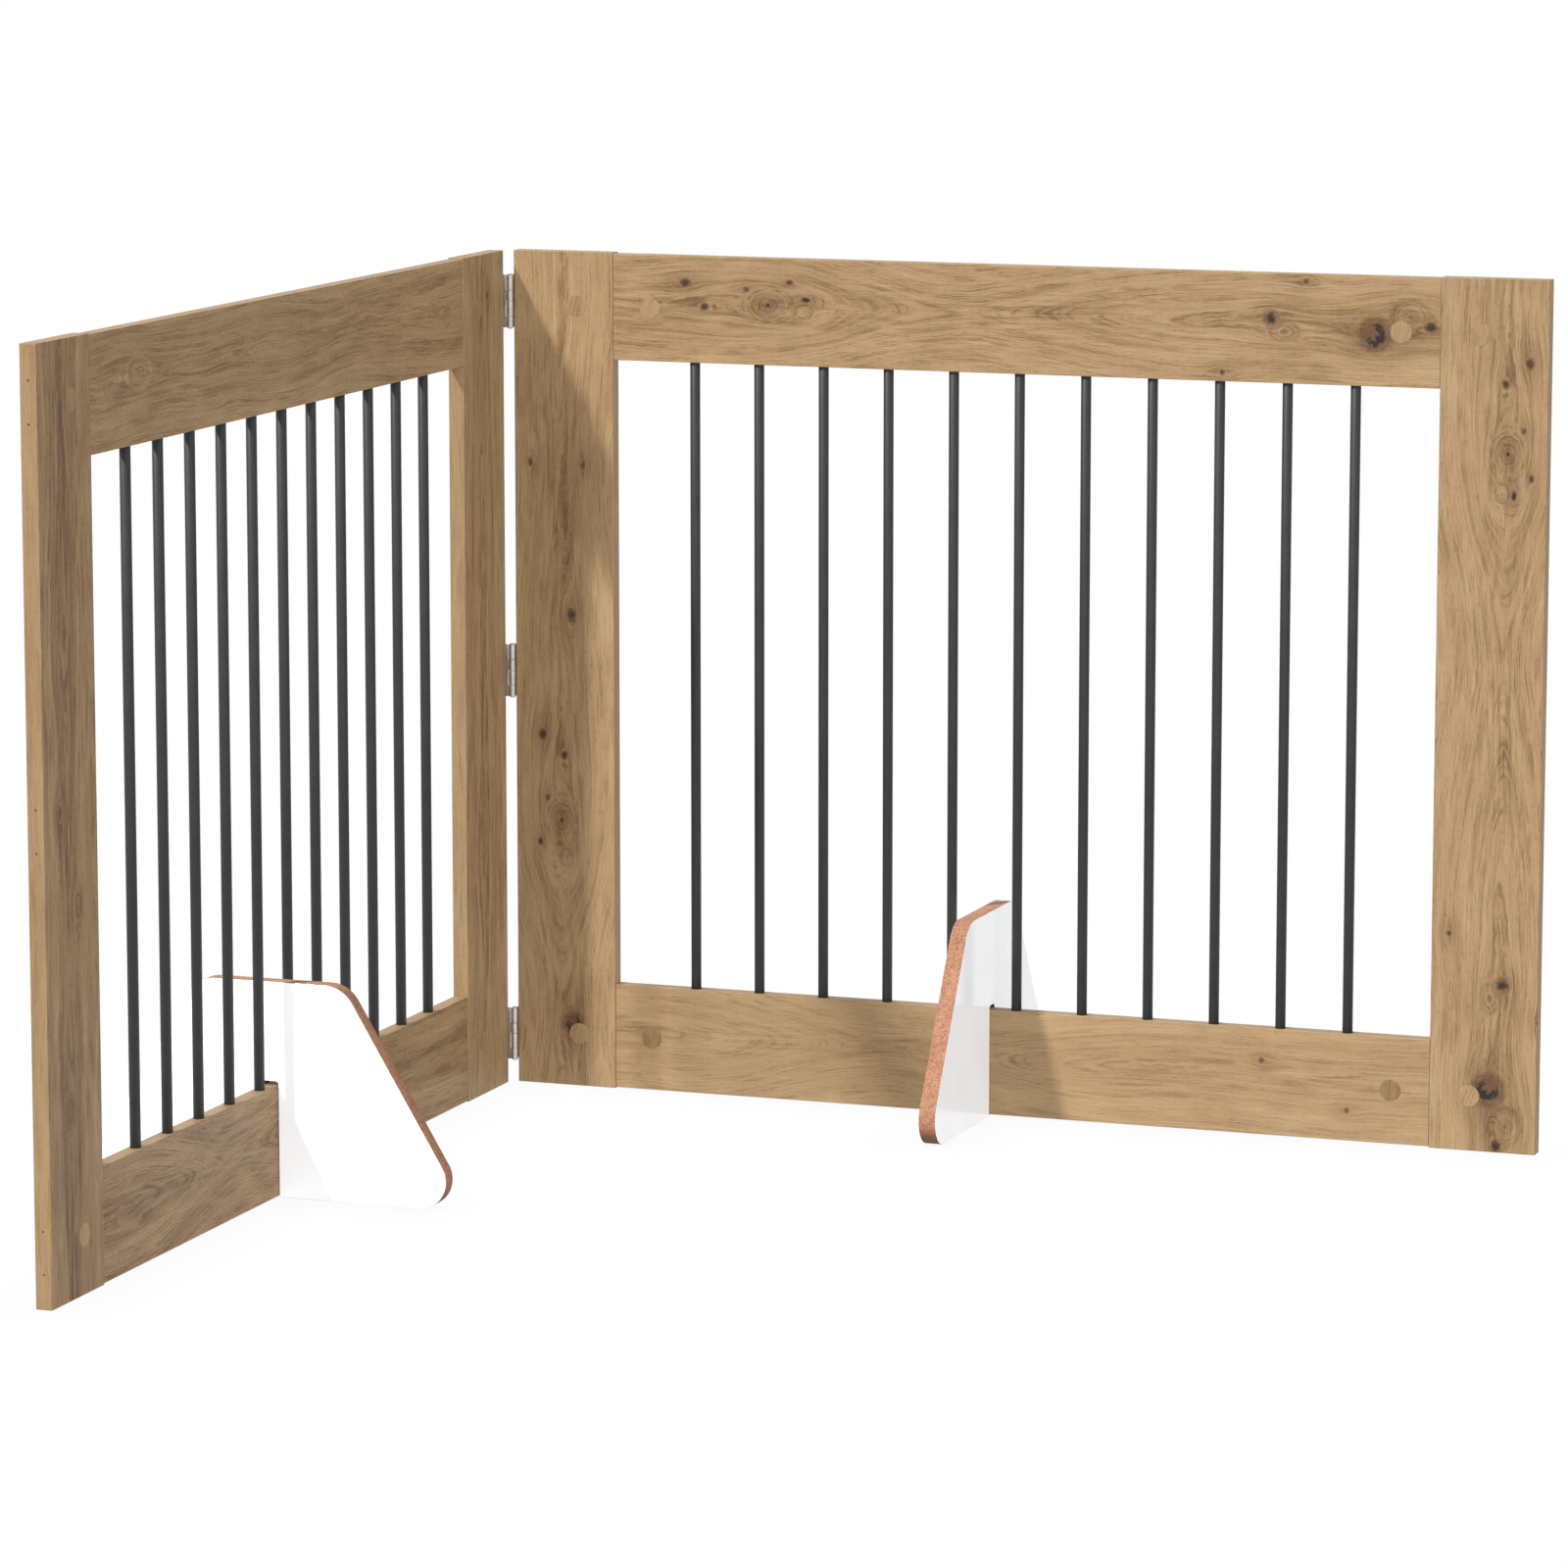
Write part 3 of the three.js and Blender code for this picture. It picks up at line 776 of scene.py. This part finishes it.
# side, board, decor origin (x, z), along, across, settings
BOARD_LOOKS = (
    ("right", "top_rail", (172, 799), RIGHT, DOWN,
     {"knots": DECOR_KNOTS, "lift": DECOR_LIFT, "seed": 1.0, "contrast": 1.6}),
    ("right", "outer_stile", (1008, 725), DOWN, LEFT,
     {"knots": DECOR_KNOTS, "lift": DECOR_LIFT, "seed": 1.0, "contrast": 1.5}),
    ("right", "hinge_stile", (2, 340), DOWN, RIGHT,
     {"knots": DECOR_KNOTS[:11] + ((280, 55, 9, 8, 0.9, 1.0),), "lift": DECOR_LIFT,
      "seed": 1.0, "contrast": 1.4, "band": 0.5}),
    ("right", "bottom_rail", (100, 101), RIGHT, DOWN,
     {"knots": ((640, 30, 2, 2, 0.6, 0.4), (722, 72, 2, 2, 0.5, 0.4)), "seed": 4.0,
      "lift": DECOR_LIFT, "tone": 0.02, "contrast": 1.2, "band": 0.4}),
    ("left", "outer_stile", (0, 800), DOWN, RIGHT,
     {"knots": ((388, 30, 5, 3, 0.4, 0.2), (470, 62, 9, 5, 0.35, 0.1),
                (640, 40, 12, 6, 0.35, 0.0)), "seed": 9.0, "contrast": 2.0,
      "band": 1.0, "tone": -0.12}),
    ("left", "top_rail", (100, 799), RIGHT, DOWN,
     {"knots": ((95, 40, 14, 8, 0.15, 0.0),), "seed": 13.0, "contrast": 1.6, "band": 0.5,
      "tone": -0.04}),
    ("left", "hinge_stile", (900, 800), DOWN, RIGHT,
     {"knots": ((40, 60, 3, 2, 0.6, 0.4),), "seed": 17.0, "contrast": 1.8, "band": 0.5,
      "tone": 0.04}),
    ("left", "bottom_rail", (100, 101), RIGHT, DOWN,
     {"knots": ((80, 60, 2, 2, 0.5, 0.4),), "seed": 21.0, "contrast": 1.9,
      "lift": DECOR_LIFT, "band": 0.7, "tone": -0.1}),
)


def drill(mouth, direction, radius, depth):
    """A cutting cylinder in a panel's frame, in millimetres."""
    bit = turned("drill", [(0, -1), (radius, -1), (radius, depth), (0, depth)], DRILL_SIDES)
    turn = Vector(direction).to_track_quat("Z", "Y").to_matrix().to_4x4()
    bit.transform(Matrix.Translation(Vector(mouth) * MM) @ turn)
    return bit


def board_drills(board, low, high):
    """(cams and holes, bolt bores) of a board with those corners in its panel's frame."""
    holes = []
    bolts = []
    if board.endswith("stile"):
        starts_panel = low.x < STILE_WIDTH_MM
        inner, inward = (high.x, -1) if starts_panel else (low.x, 1)
        outer = low.x if starts_panel else high.x
        joints = [(inner, inward)]
        heights = CAM_HEIGHTS_MM
        radius, depth = PILOT_MM, PILOT_DEPTH_MM
        if board == "hinge_stile":
            radius, depth = SCREW_HOLE_MM, SCREW_HOLE_DEPTH_MM
        for middle in HINGE_HEIGHTS_MM:
            for z in (middle - SCREW_SPREAD_MM, middle + SCREW_SPREAD_MM):
                mouth = (outer, BOARD_MIDDLE_MM, z)
                holes.append(drill(mouth, (-inward, 0, 0), radius, depth))
    else:
        joints = [(low.x, 1), (high.x, -1)]
        heights = ((low.z + high.z) / 2,)
        edge, into = (high.z, -1) if board == "bottom_rail" else (low.z, 1)
        first = (PANEL_LENGTH_MM - (ROD_COUNT - 1) * ROD_PITCH_MM) / 2
        for number in range(ROD_COUNT):
            mouth = (first + number * ROD_PITCH_MM, BOARD_MIDDLE_MM, edge)
            holes.append(drill(mouth, (0, 0, into), SOCKET_RADIUS_MM, SOCKET_DEPTH_MM))
    for end, inward in joints:
        for height in heights:
            face = (end + inward * CAM_DISTANCE_MM, low.y, height)
            holes.append(drill(face, (0, 1, 0), CAM_BORE_RADIUS_MM, CAM_BORE_END_MM - low.y))
            mouth = (end, BOARD_MIDDLE_MM, height)
            bolts.append(drill(mouth, (inward, 0, 0), BOLT_BORE_MM, CAM_DISTANCE_MM))
    return merged(holes), merged(bolts)


def merged(meshes):
    """One mesh of several."""
    bm = bmesh.new()
    for mesh in meshes:
        bm.from_mesh(mesh)
    return to_mesh("merged", bm)


def rounded_box(low, high, radius, segments):
    """A box with rounded edges, from corners in metres."""
    bm = bmesh.new()
    bmesh.ops.create_cube(bm, size=1)
    size = high - low
    bmesh.ops.scale(bm, vec=size, verts=bm.verts)
    bmesh.ops.translate(bm, vec=(low + high) / 2, verts=bm.verts)
    bmesh.ops.bevel(bm, geom=bm.edges[:], offset=radius, segments=segments, profile=0.5,
                    affect="EDGES")
    return to_mesh("box", bm)


def finish_boards():
    """The eight boards, each with rounded edges, its bores and its own stretch of decor."""
    for side, board, origin, along, across, settings in BOARD_LOOKS:
        node = f"{side}_{board}"
        axes = board_axes(side, origin, along, across)
        material = oak_material(f"Oak {side} {board}".replace("_", " "), **axes, **settings)
        panel = PANEL_FRAMES[side]
        corners = [panel.inverted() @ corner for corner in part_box(node)]
        low = Vector(map(min, *corners))
        high = Vector(map(max, *corners))
        solid = rounded_box(low, high, BOARD_EDGE_RADIUS, BOARD_EDGE_STEPS)
        holes, bolts = board_drills(board, low / MM, high / MM)
        mesh = join_solids(f"{node} board", solid, [holes, bolts], "DIFFERENCE")
        mesh.transform(panel)
        for polygon in mesh.polygons:
            polygon.use_smooth = max(map(abs, polygon.normal)) < FLAT_COSINE
        make_piece(f"{node}_board", mesh, Matrix.Identity(4), material, f"{side}_panel",
                   [node])


# ---- joint fittings --------------------------------------------------------------------

CAP_DECOR_ROW_MM = 30
CAPS_BEFORE_SEAM_MM = (STILE_WIDTH_MM - CAM_DISTANCE_MM,
                       PANEL_LENGTH_MM - STILE_WIDTH_MM - CAM_DISTANCE_MM)
BOLT_BALL_REACH_MM = CAM_DISTANCE_MM + 0.2

# cap (side, x, z): turn of its grain in degrees, tone
CAP_LOOKS = {
    ("right", 63, 749): (75, -0.06), ("right", 137, 749): (60, 0.04),
    ("right", 863, 749): (78, -0.04), ("right", 937, 749): (85, -0.1),
    ("right", 63, 51): (80, -0.1), ("right", 137, 51): (85, -0.36),
    ("right", 863, 51): (88, -0.34), ("right", 937, 51): (70, 0.04),
    ("left", 63, 749): (85, -0.16), ("left", 137, 749): (15, -0.16),
    ("left", 863, 749): (10, -0.16), ("left", 937, 749): (85, -0.16),
    ("left", 63, 51): (80, 0.14), ("left", 137, 51): (0, -0.16),
    ("left", 863, 51): (5, -0.16), ("left", 937, 51): (80, -0.16),
}


def cap_material(grain_turn, tone):
    """A cap's oak print, with its grain turned by that many degrees."""
    angle = math.radians(grain_turn)
    across = Vector((-math.sin(angle), math.cos(angle), 0))
    return oak_material(
        f"Oak cap {grain_turn} {tone}", across * -CAP_DECOR_ROW_MM,
        Vector((math.cos(angle), math.sin(angle), 0)), across, Vector((0, 0, -1)),
        seed=30.0 + grain_turn, tone=tone, heart=CAP_DECOR_ROW_MM + 12,
        band=0.1, contrast=1.2)


def make_cam_mesh():
    """A turning cam lock about Z: its face at the top, cross-slotted, open on one side."""
    height = CAM_HIGH_MM - CAM_LOW_MM
    radius = CAM_RADIUS_MM
    body = turned("cam", [
        (0, 0), (radius - 0.4, 0), (radius, 0.4), (radius, height - 0.6),
        (radius - 0.3, height - 0.6), (radius - 0.3, height), (0, height),
    ], ROD_SIDES)
    tools = []
    for half_x, half_y in ((4.6, 0.7), (0.7, 4.6)):
        low = Vector((-half_x, -half_y, height - 2.4)) * MM
        high = Vector((half_x, half_y, height + 1)) * MM
        tools.append(rounded_box(low, high, 0.1 * MM, 1))
    level = CAM_HIGH_MM - BOARD_MIDDLE_MM
    low = Vector((-2.6, -4.2, level - 4.1)) * MM
    high = Vector((radius + 1, 4.2, level + 4.1)) * MM
    tools.append(rounded_box(low, high, 0.2 * MM, 1))
    return join_solids("cam lock", body, tools, "DIFFERENCE")


def make_bolt_mesh():
    """A double-ended bolt about Z, with a ball at each end for the cams."""
    reach = BOLT_BALL_REACH_MM
    half = [
        (0, -reach - 2.2), (1.9, -reach - 1.9), (2.8, -reach - 0.6), (2.8, -reach + 0.8),
        (1.6, -reach + 2.4), (1.6, -reach + 7.2), (BOLT_RADIUS_MM, -reach + 8.4),
        (BOLT_RADIUS_MM, -1.2), (2.6, -0.9),
    ]
    return turned("bolt", half + [(r, -z) for r, z in reversed(half)], 32)


def make_cap_mesh():
    """A thin cover cap about Z, with a rounded rim."""
    radius = CAP_RADIUS_MM
    height = CAP_HEIGHT_MM
    return turned("cap", [
        (0, 0), (radius, 0), (radius, height * 0.5), (radius - 0.1, height * 0.85),
        (radius - 0.5, height), (0, height + 0.02),
    ], 64)


def make_caps_and_cams(steel):
    """A cam lock in every bore beside a seam, and a cover cap over it."""
    cam = make_cam_mesh()
    cap = make_cap_mesh()
    looks = {}
    counts = {side: 0 for side in SIDES}
    outward = Matrix.Rotation(math.pi / 2, 4, "X")
    for (side, x, z), look in CAP_LOOKS.items():
        counts[side] += 1
        number = counts[side]
        panel = PANEL_FRAMES[side]
        body = f"{side}_panel"
        on_rail = STILE_WIDTH_MM < x < PANEL_LENGTH_MM - STILE_WIDTH_MM
        face = RAIL_FACE_MM if on_rail else 0
        if look not in looks:
            looks[look] = cap_material(*look)
        place = Matrix.Translation(Vector((x, face - CAP_GAP_MM, z)) * MM)
        make_piece(f"{side}_cover_cap_{number}", cap, panel @ place @ outward, looks[look],
                   body)
        toward_seam = 0 if x in CAPS_BEFORE_SEAM_MM else math.pi
        place = Matrix.Translation(Vector((x, CAM_HIGH_MM, z)) * MM)
        spin = Matrix.Rotation(toward_seam, 4, "Z")
        make_piece(f"{side}_cam_lock_{number}", cam, panel @ place @ outward @ spin, steel,
                   body)


def make_bolts(steel):
    """A bolt across every seam, between its two cams."""
    bolt = make_bolt_mesh()
    along = Matrix.Rotation(math.pi / 2, 4, "Y")
    for side in SIDES:
        seams = [(x, z) for x in (STILE_WIDTH_MM, PANEL_LENGTH_MM - STILE_WIDTH_MM)
                 for z in CAM_HEIGHTS_MM]
        for number, (x, z) in enumerate(seams, 1):
            place = Matrix.Translation(Vector((x, BOARD_MIDDLE_MM, z)) * MM)
            make_piece(f"{side}_connecting_bolt_{number}", bolt,
                       PANEL_FRAMES[side] @ place @ along, steel, f"{side}_panel")


# ---- bars ------------------------------------------------------------------------------


def make_bars(coat):
    """The round bars, with chamfered ends, in the places of the CAD's."""
    for side in SIDES:
        for number in range(1, ROD_COUNT + 1):
            node = f"{side}_rod_{number:02d}"
            low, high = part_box(node)
            radius = (high.x - low.x) / 2 / MM
            height = (high.z - low.z) / MM
            cut = ROD_CHAMFER / MM
            mesh = turned("bar", [
                (0, 0), (radius - cut, 0), (radius, cut), (radius, height - cut),
                (radius - cut, height), (0, height),
            ], ROD_SIDES)
            for polygon in mesh.polygons:
                polygon.use_smooth = abs(polygon.normal.z) < 0.1
            middle = (low + high) / 2
            matrix = Matrix.Translation((middle.x, middle.y, low.z))
            make_piece(f"{side}_bar_{number:02d}", mesh, matrix, coat, f"{side}_panel",
                       [node])


# ---- feet ------------------------------------------------------------------------------


def make_feet(board):
    """The slot-on feet: a rounded outline with a slot for the bottom rail."""
    for side in SIDES:
        node = f"{side}_foot"
        low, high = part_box(node)
        height = (high.z - low.z) / MM
        size = high - low
        thickness = min(size.x, size.y) / MM
        half_top = FOOT_HALF_BASE_MM - FOOT_SIDE_SLOPE * height
        outline = rounded_outline([
            (-FOOT_HALF_BASE_MM, 0, FOOT_BASE_RADIUS_MM),
            (-FOOT_HALF_SLOT_MM, 0, 0),
            (-FOOT_HALF_SLOT_MM, FOOT_SLOT_TOP_MM, FOOT_SLOT_RADIUS_MM),
            (FOOT_HALF_SLOT_MM, FOOT_SLOT_TOP_MM, FOOT_SLOT_RADIUS_MM),
            (FOOT_HALF_SLOT_MM, 0, 0),
            (FOOT_HALF_BASE_MM, 0, FOOT_BASE_RADIUS_MM),
            (half_top, height, FOOT_TOP_RADIUS_MM),
            (-half_top, height, FOOT_TOP_RADIUS_MM),
        ], FOOT_ARC_STEPS)
        mesh = prism("foot board", outline, -thickness / 2, thickness / 2, FOOT_EDGE_MM)
        mesh.transform(STAND_UP)
        shade(mesh, 50, flat_axis=0)
        middle = (low + high) / 2
        matrix = Matrix.Translation((middle.x, middle.y, low.z))
        if side == "left":
            matrix = matrix @ Matrix.Rotation(math.pi / 2, 4, "Z")
        make_piece(f"{side}_foot_board", mesh, matrix, board, f"{side}_foot",
                   [node])


# ---- hinges ----------------------------------------------------------------------------
# A hinge is built about Z with its middle at 0. A leaf reaches along y, and sign says on
# which side of x = 0 it lies. The left leaf is then turned a quarter turn.


def make_leaf_mesh(sign, knuckles):
    """A leaf with its knuckles, the bore for the pin and two countersinks."""
    top = HINGE_LENGTH_MM / 2
    start = KNUCKLE_RADIUS_MM + 0.3
    outline = rounded_outline([
        (start, -top, 0), (LEAF_REACH_MM, -top, LEAF_CORNER_MM),
        (LEAF_REACH_MM, top, LEAF_CORNER_MM), (start, top, 0),
    ], LEAF_ARC_STEPS)
    low_x, high_x = (LEAF_NEAR_MM, LEAF_FAR_MM) if sign > 0 else (-LEAF_FAR_MM, -LEAF_NEAR_MM)
    plate = prism("leaf", outline, low_x, high_x, 0.08)
    plate.transform(STAND_UP)
    for start_at, end_at in knuckles:
        low = top - end_at + KNUCKLE_GAP_MM / 2
        high = top - start_at - KNUCKLE_GAP_MM / 2
        radius = KNUCKLE_RADIUS_MM
        barrel = turned("knuckle", [
            (0, low), (radius - 0.15, low), (radius, low + 0.15), (radius, high - 0.15),
            (radius - 0.15, high), (0, high),
        ], HINGE_SIDES)
        strap = rounded_box(Vector((low_x, 0, low)) * MM, Vector((high_x, start + 1, high)) * MM,
                            0.03 * MM, 1)
        plate = join_solids("leaf", plate, [barrel, strap], "UNION")
    reach = top + 1
    cutters = [turned("bore", [(0, -reach), (PIN_BORE_MM, -reach), (PIN_BORE_MM, reach),
                               (0, reach)], HINGE_SIDES)]
    for z in (-SCREW_SPREAD_MM, SCREW_SPREAD_MM):
        wide = SCREW_TOP_MM + SCREW_HEAD_MM + 0.3
        sink = turned("countersink", [
            (0, 0), (wide, 0), (SCREW_SHANK_MM, wide - SCREW_SHANK_MM),
            (0, wide - SCREW_SHANK_MM),
        ], HINGE_SIDES)
        turn = Matrix.Rotation(sign * math.pi / 2, 4, "Y")
        sink.transform(Matrix.Translation(Vector((0, SCREW_LINE_MM, z)) * MM) @ turn)
        cutters.append(sink)
    leaf = join_solids("hinge leaf", plate, cutters, "DIFFERENCE")
    shade(leaf, 30)
    return leaf


def make_screw_mesh():
    """A countersunk wood screw about Z, with a cross recess in its head."""
    rim = SCREW_TOP_MM + 0.2
    neck = rim + SCREW_HEAD_MM - SCREW_SHANK_MM
    body = turned("screw", [
        (0, SCREW_TOP_MM), (SCREW_HEAD_MM - 0.15, SCREW_TOP_MM),
        (SCREW_HEAD_MM, SCREW_TOP_MM + 0.1), (SCREW_HEAD_MM, rim),
        (SCREW_SHANK_MM, neck), (SCREW_SHANK_MM, 12), (0.5, 14.4), (0, 15),
    ], HINGE_SIDES)
    arms = []
    for half_x, half_y in ((1.35, 0.3), (0.3, 1.35)):
        low = Vector((-half_x, -half_y, -1)) * MM
        high = Vector((half_x, half_y, SCREW_TOP_MM + 1.1)) * MM
        arms.append(rounded_box(low, high, 0.06 * MM, 1))
    screw = join_solids("hinge screw", body, arms, "DIFFERENCE")
    shade(screw, 35)
    return screw


def make_pin_mesh():
    """A hinge pin about Z, with a low domed head at each end."""
    end = HINGE_LENGTH_MM / 2 + PIN_PLAY_MM
    pin = turned("hinge pin", [
        (0, -end - 1.0), (1.6, -end - 0.85), (2.4, -end - 0.4), (PIN_HEAD_MM, -end),
        (PIN_RADIUS_MM, -end), (PIN_RADIUS_MM, end),
        (PIN_HEAD_MM, end), (2.4, end + 0.4), (1.6, end + 0.85), (0, end + 1.0),
    ], HINGE_SIDES)
    shade(pin, 40)
    return pin


def make_hinges(leaf_steel, screw_steel):
    """The three hinges. The pins ride on the right panel."""
    low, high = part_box("top_hinge_pin")
    axis = (low + high) / 2
    leaves = {"right": make_leaf_mesh(1, RIGHT_KNUCKLES_MM),
              "left": make_leaf_mesh(-1, LEFT_KNUCKLES_MM)}
    screw = make_screw_mesh()
    pin = make_pin_mesh()
    quarter = Matrix.Rotation(math.pi / 2, 4, "Z")
    for label, height in zip(("bottom", "middle", "top"), HINGE_HEIGHTS_MM):
        middle = Matrix.Translation((axis.x, axis.y, height * MM))
        make_piece(f"{label}_hinge_axle", pin, middle, leaf_steel, "right_panel",
                   [f"{label}_hinge_pin"])
        for side, sign in (("right", 1), ("left", -1)):
            place = middle if side == "right" else middle @ quarter
            body = f"{side}_panel"
            node = f"{label}_hinge_{side}"
            make_piece(f"{node}_plate", leaves[side], place, leaf_steel, body,
                       [f"{node}_leaf"])
            for level, z in (("upper", SCREW_SPREAD_MM), ("lower", -SCREW_SPREAD_MM)):
                spot = Matrix.Translation(Vector((0, SCREW_LINE_MM, z)) * MM)
                turn = Matrix.Rotation(sign * math.pi / 2, 4, "Y")
                make_piece(f"{node}_{level}_wood_screw", screw, place @ spot @ turn,
                           screw_steel, body, [f"{node}_{level}_screw"])


# ---- studio ----------------------------------------------------------------------------


def camera_only(obj):
    """Shown behind the object, without lighting it or being reflected in it."""
    obj.visible_diffuse = False
    obj.visible_glossy = False
    obj.visible_transmission = False
    obj.visible_shadow = False


def make_backdrop():
    """A floor and a dome round everything, both glowing white and seen only directly."""
    scene = bpy.context.scene
    white = glowing_white("Studio white")
    floor = bpy.data.meshes.new("floor")
    reach = STUDIO_RADIUS
    corners = [(-reach, -reach, 0), (reach, -reach, 0), (reach, reach, 0), (-reach, reach, 0)]
    floor.from_pydata(corners, [], [(0, 1, 2, 3)])
    floor.materials.append(white)
    plane = bpy.data.objects.new("studio_floor", floor)
    plane.location.z = -FLOOR_DROP
    bm = bmesh.new()
    bmesh.ops.create_icosphere(bm, subdivisions=4, radius=DOME_RADIUS)
    dome = bpy.data.objects.new("studio_backdrop", to_mesh("backdrop", bm))
    dome.data.materials.append(white)
    for stage_piece in (plane, dome):
        scene.collection.objects.link(stage_piece)
        camera_only(stage_piece)


def make_sky():
    """An even white sky, brighter where it is mirrored than where it lights."""
    world = bpy.data.worlds.new("Studio")
    bpy.context.scene.world = world
    world.use_nodes = True
    background = world.node_tree.nodes["Background"]
    background.inputs["Color"].default_value = (1, 1, 1, 1)
    g = Graph(world.node_tree)
    mirrored = g.node("ShaderNodeLightPath").outputs["Is Glossy Ray"]
    g.feed(background.inputs["Strength"], g.choose(mirrored, SKY_STRENGTH, SKY_REFLECTED))


def make_lights():
    """The key light, and soft fills that cast no shadow and aren't mirrored."""
    add_sun("Key light", KEY_TRAVEL, KEY_ENERGY, KEY_ANGLE)
    for number, (travel, energy) in enumerate(FILLS, 1):
        fill = add_sun(f"Fill light {number}", travel, energy, FILL_ANGLE)
        fill.data.use_shadow = False
        fill.visible_glossy = False


def add_sun(name, travel, energy, angle):
    """A sun whose light travels that way. angle is its width in the sky, in degrees."""
    lamp = bpy.data.lights.new(name, "SUN")
    lamp.energy = energy
    lamp.angle = math.radians(angle)
    sun = bpy.data.objects.new(name, lamp)
    sun.rotation_mode = "QUATERNION"
    sun.rotation_quaternion = Vector(travel).to_track_quat("-Z", "Y")
    bpy.context.scene.collection.objects.link(sun)
    return sun


def make_camera():
    """The camera, where a fit to the object's straight edges puts it."""
    scene = bpy.context.scene
    data = bpy.data.cameras.new("Camera")
    data.lens = CAMERA_LENS_MM
    data.sensor_width = CAMERA_SENSOR_MM
    camera = bpy.data.objects.new("Camera", data)
    camera.location = CAMERA_PLACE
    tilt = math.radians(90 - CAMERA_PITCH_DOWN)
    camera.rotation_euler = (tilt, 0, math.radians(CAMERA_YAW))
    scene.collection.objects.link(camera)
    scene.camera = camera
    scene.view_settings.view_transform = "Standard"


# ---- the gate --------------------------------------------------------------------------

make_camera()
make_backdrop()
make_sky()
make_lights()
finish_boards()
make_bars(black_coat())
make_feet(white_board())
cast_zinc = zinc("Cast zinc fittings", (1, 1, 1), 0.34)
make_caps_and_cams(cast_zinc)
make_bolts(cast_zinc)
make_hinges(zinc("Zinc plated hinge steel", (1, 1, 0.08), 0.2),
            zinc("Zinc plated screw steel", (1, 1, 1), 0.26))
